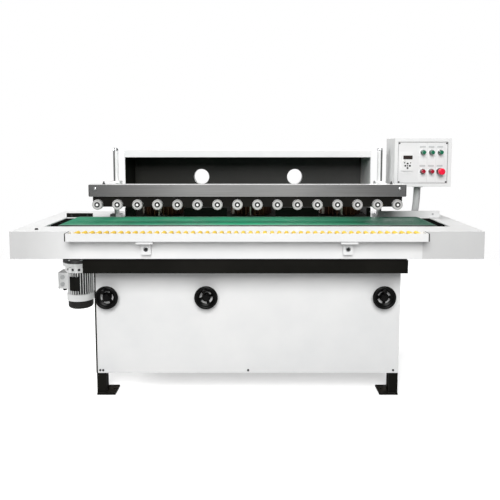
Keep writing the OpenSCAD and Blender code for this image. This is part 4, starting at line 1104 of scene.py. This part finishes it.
# How far right and up of the cross each key is, and its width
KEYS = [(0, 0.013, 0.0095), (0, -0.013, 0.0095), (-0.013, 0, 0.0095), (0.013, 0, 0.0095),
        (0, 0, 0.0065), (-0.017, 0.017, 0.006), (0.017, 0.017, 0.006)]
display_glass = finish("display_glass", rgb(0.030, 0.020, 0.017), rgb(0.045, 0.032, 0.028), 0.12,
                       grey(0.1), 0.2, edge=0.0004, coat=0.8, spread=0.03), "black_plastic"
label_grey = finish("label_plate", rgb(0.60, 0.61, 0.61), rgb(0.52, 0.53, 0.53), 0.45, STEEL, 0.3,
                    edge=0.0004), "grey_paint"
keypad = Vector((plate_mid.x - KEYPAD_LEFT, plate_front - KEYPAD_OUT, plate_mid.z + KEYPAD_UP))
display_at, cross = keypad + Vector(DISPLAY_OFF), keypad + Vector(CROSS_OFF)
strip_x = [plate_mid.x - STRIP_LEFT + STRIP_STEP * k for k in range(3)]
bezel, glass, keys, labels = meshes(4)
sheet_plate(bezel, *BEZEL, stand(display_at, FRONT), corner=0.002, edge=0.0005)
place = stand(display_at - Vector((0, BEZEL[2], 0)), FRONT)
sheet_plate(glass, *GLASS, place, corner=0.001, edge=0.0002)
for dx, dz, wide in KEYS:
    place = stand(cross + Vector((dx, 0, dz)), FRONT)
    sheet_plate(keys, wide, wide, KEY_T, place, corner=0.0018, edge=0.0006)
for x in strip_x:
    for up in (GREEN_UP, RED_UP):
        place = stand((x, plate_front - STRIP_OUT, plate_mid.z + up + LABEL_UP), FRONT)
        sheet_plate(labels, *LABEL, place, corner=0.0015, edge=0.0003)
piece("display_bezel", bezel, moulding)
piece("display_window", glass, display_glass)
piece("keypad_keys", keys, moulding)
piece("label_plates", labels, label_grey)
print("fittings:", len(fittings))

# %% Rings, plate screws and the dial's mark
COLLAR_OUT, PLATE_SCREW_IN, MARK_UP, MARK = 0.014, 0.008, 0.0035, (0.0014, 0.0055, 0.0004)
RING = [(0.0142, 0), (0.0140, 0.0008), (0.0130, 0.0014), (0.0119, 0.0010), (0.0117, 0)]
rings, screws, mark = meshes(3)
buttons = [(x, up) for x in strip_x for up in (GREEN_UP, RED_UP)]
# The last place holds the emergency stop, which has no ring.
for x, up in buttons[:-1]:
    turned(rings, RING, stand((x, plate_front - COLLAR_OUT, plate_mid.z + up), FRONT), steps=32)
screw_rows(screws, (plate_mid.x, plate_front, plate_mid.z), FRONT, plate_half.x - PLATE_SCREW_IN,
           plate_half.z - PLATE_SCREW_IN, size=0.009)
knob_low, knob_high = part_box("speed_knob")
knob_mid = (knob_low + knob_high) / 2
place = stand((knob_mid.x, knob_low.y, knob_mid.z + MARK_UP), FRONT)
sheet_plate(mark, *MARK, place, corner=0.0005, edge=0.0001)
piece("button_rings", rings, zinc)
piece("plate_screws", screws, burnished)
piece("dial_mark", mark, moulding, "speed_knob")
print("fittings:", len(fittings))

# %% [markdown]
# ## Control box, hood and fences
# The remaining fittings are seen from the back and from above: the rear cover of the control
# box, the bolts of its arm, the rolled ends of the extraction spigots that keep a hose on, and
# the flush screws of the guide plates.

# %% Rear cover, arm bolts, spigot beads and fence screws
case_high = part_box("control_box")[1]
arm_low, arm_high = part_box("control_arm")
CASE_COVER_W, CASE_COVER_H, CASE_SCREW_X, CASE_SCREW_Z = 0.290, 0.240, 0.132, 0.107
ARM_FOOT_IN, ARM_FOOT_T, ARM_BOLT_R = 0.045, 0.022, 0.033
cover, screws, bolts = meshes(3)
place = stand((plate_mid.x, case_high.y, plate_mid.z), BACK)
sheet_plate(cover, CASE_COVER_W, CASE_COVER_H, COVER_T, place, corner=0.012, edge=0.0008)
screw_rows(screws, (plate_mid.x, case_high.y + COVER_T, plate_mid.z), BACK, CASE_SCREW_X,
           CASE_SCREW_Z, size=0.010)
foot = Vector((plate_mid.x, arm_high.y - ARM_FOOT_IN, arm_low.z + ARM_FOOT_T))
for dx, dy in on_circle(4, ARM_BOLT_R, 45):
    hex_bolt(bolts, stand(foot + Vector((dx, dy, 0))), size=0.0065)
piece("control_rear_cover", cover, white)
piece("control_rear_screws", screws, burnished)
piece("arm_bolts", bolts, zinc)

PORT_X, PORT_UP, SPIGOT_R, BEAD_IN = 0.303, 0.226, 0.052, 0.008
BEAD = [(SPIGOT_R - 0.0002, 0), (SPIGOT_R + 0.002, 0.001), (SPIGOT_R + 0.0028, 0.003),
        (SPIGOT_R + 0.002, 0.005), (SPIGOT_R - 0.0002, 0.006)]
FLUSH = [(0.0058, 0), (0.0054, 0.0005), (0.0026, 0.0005), (0.0024, 0.0002), (0, 0.0002)]
INFEED_UP, OUTFEED_UP, OUTFEED_IN = 0.012, 0.019, 0.040
fence_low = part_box("rear_fence")[0]
beads, infeed, outfeed = meshes(3)
for side in SIDES:
    spot = (side * PORT_X, hood_high.y - BEAD_IN, table_high.z + PORT_UP)
    turned(beads, BEAD, stand(spot, BACK), steps=48)
for mesh, x, up in (
    (infeed, fence_low.x + 0.030, INFEED_UP), (infeed, fence_low.x + 0.125, INFEED_UP),
    (outfeed, guide_low.x + OUTFEED_IN, OUTFEED_UP),
    (outfeed, guide_high.x - OUTFEED_IN, OUTFEED_UP),
):
    turned(mesh, FLUSH, stand((x, fence_low.y, table_high.z + up), FRONT), steps=20)
piece("spigot_beads", beads, white)
piece("infeed_screws", infeed, burnished)
piece("fence_screws", outfeed, zinc)
print("fittings:", len(fittings), "pieces")
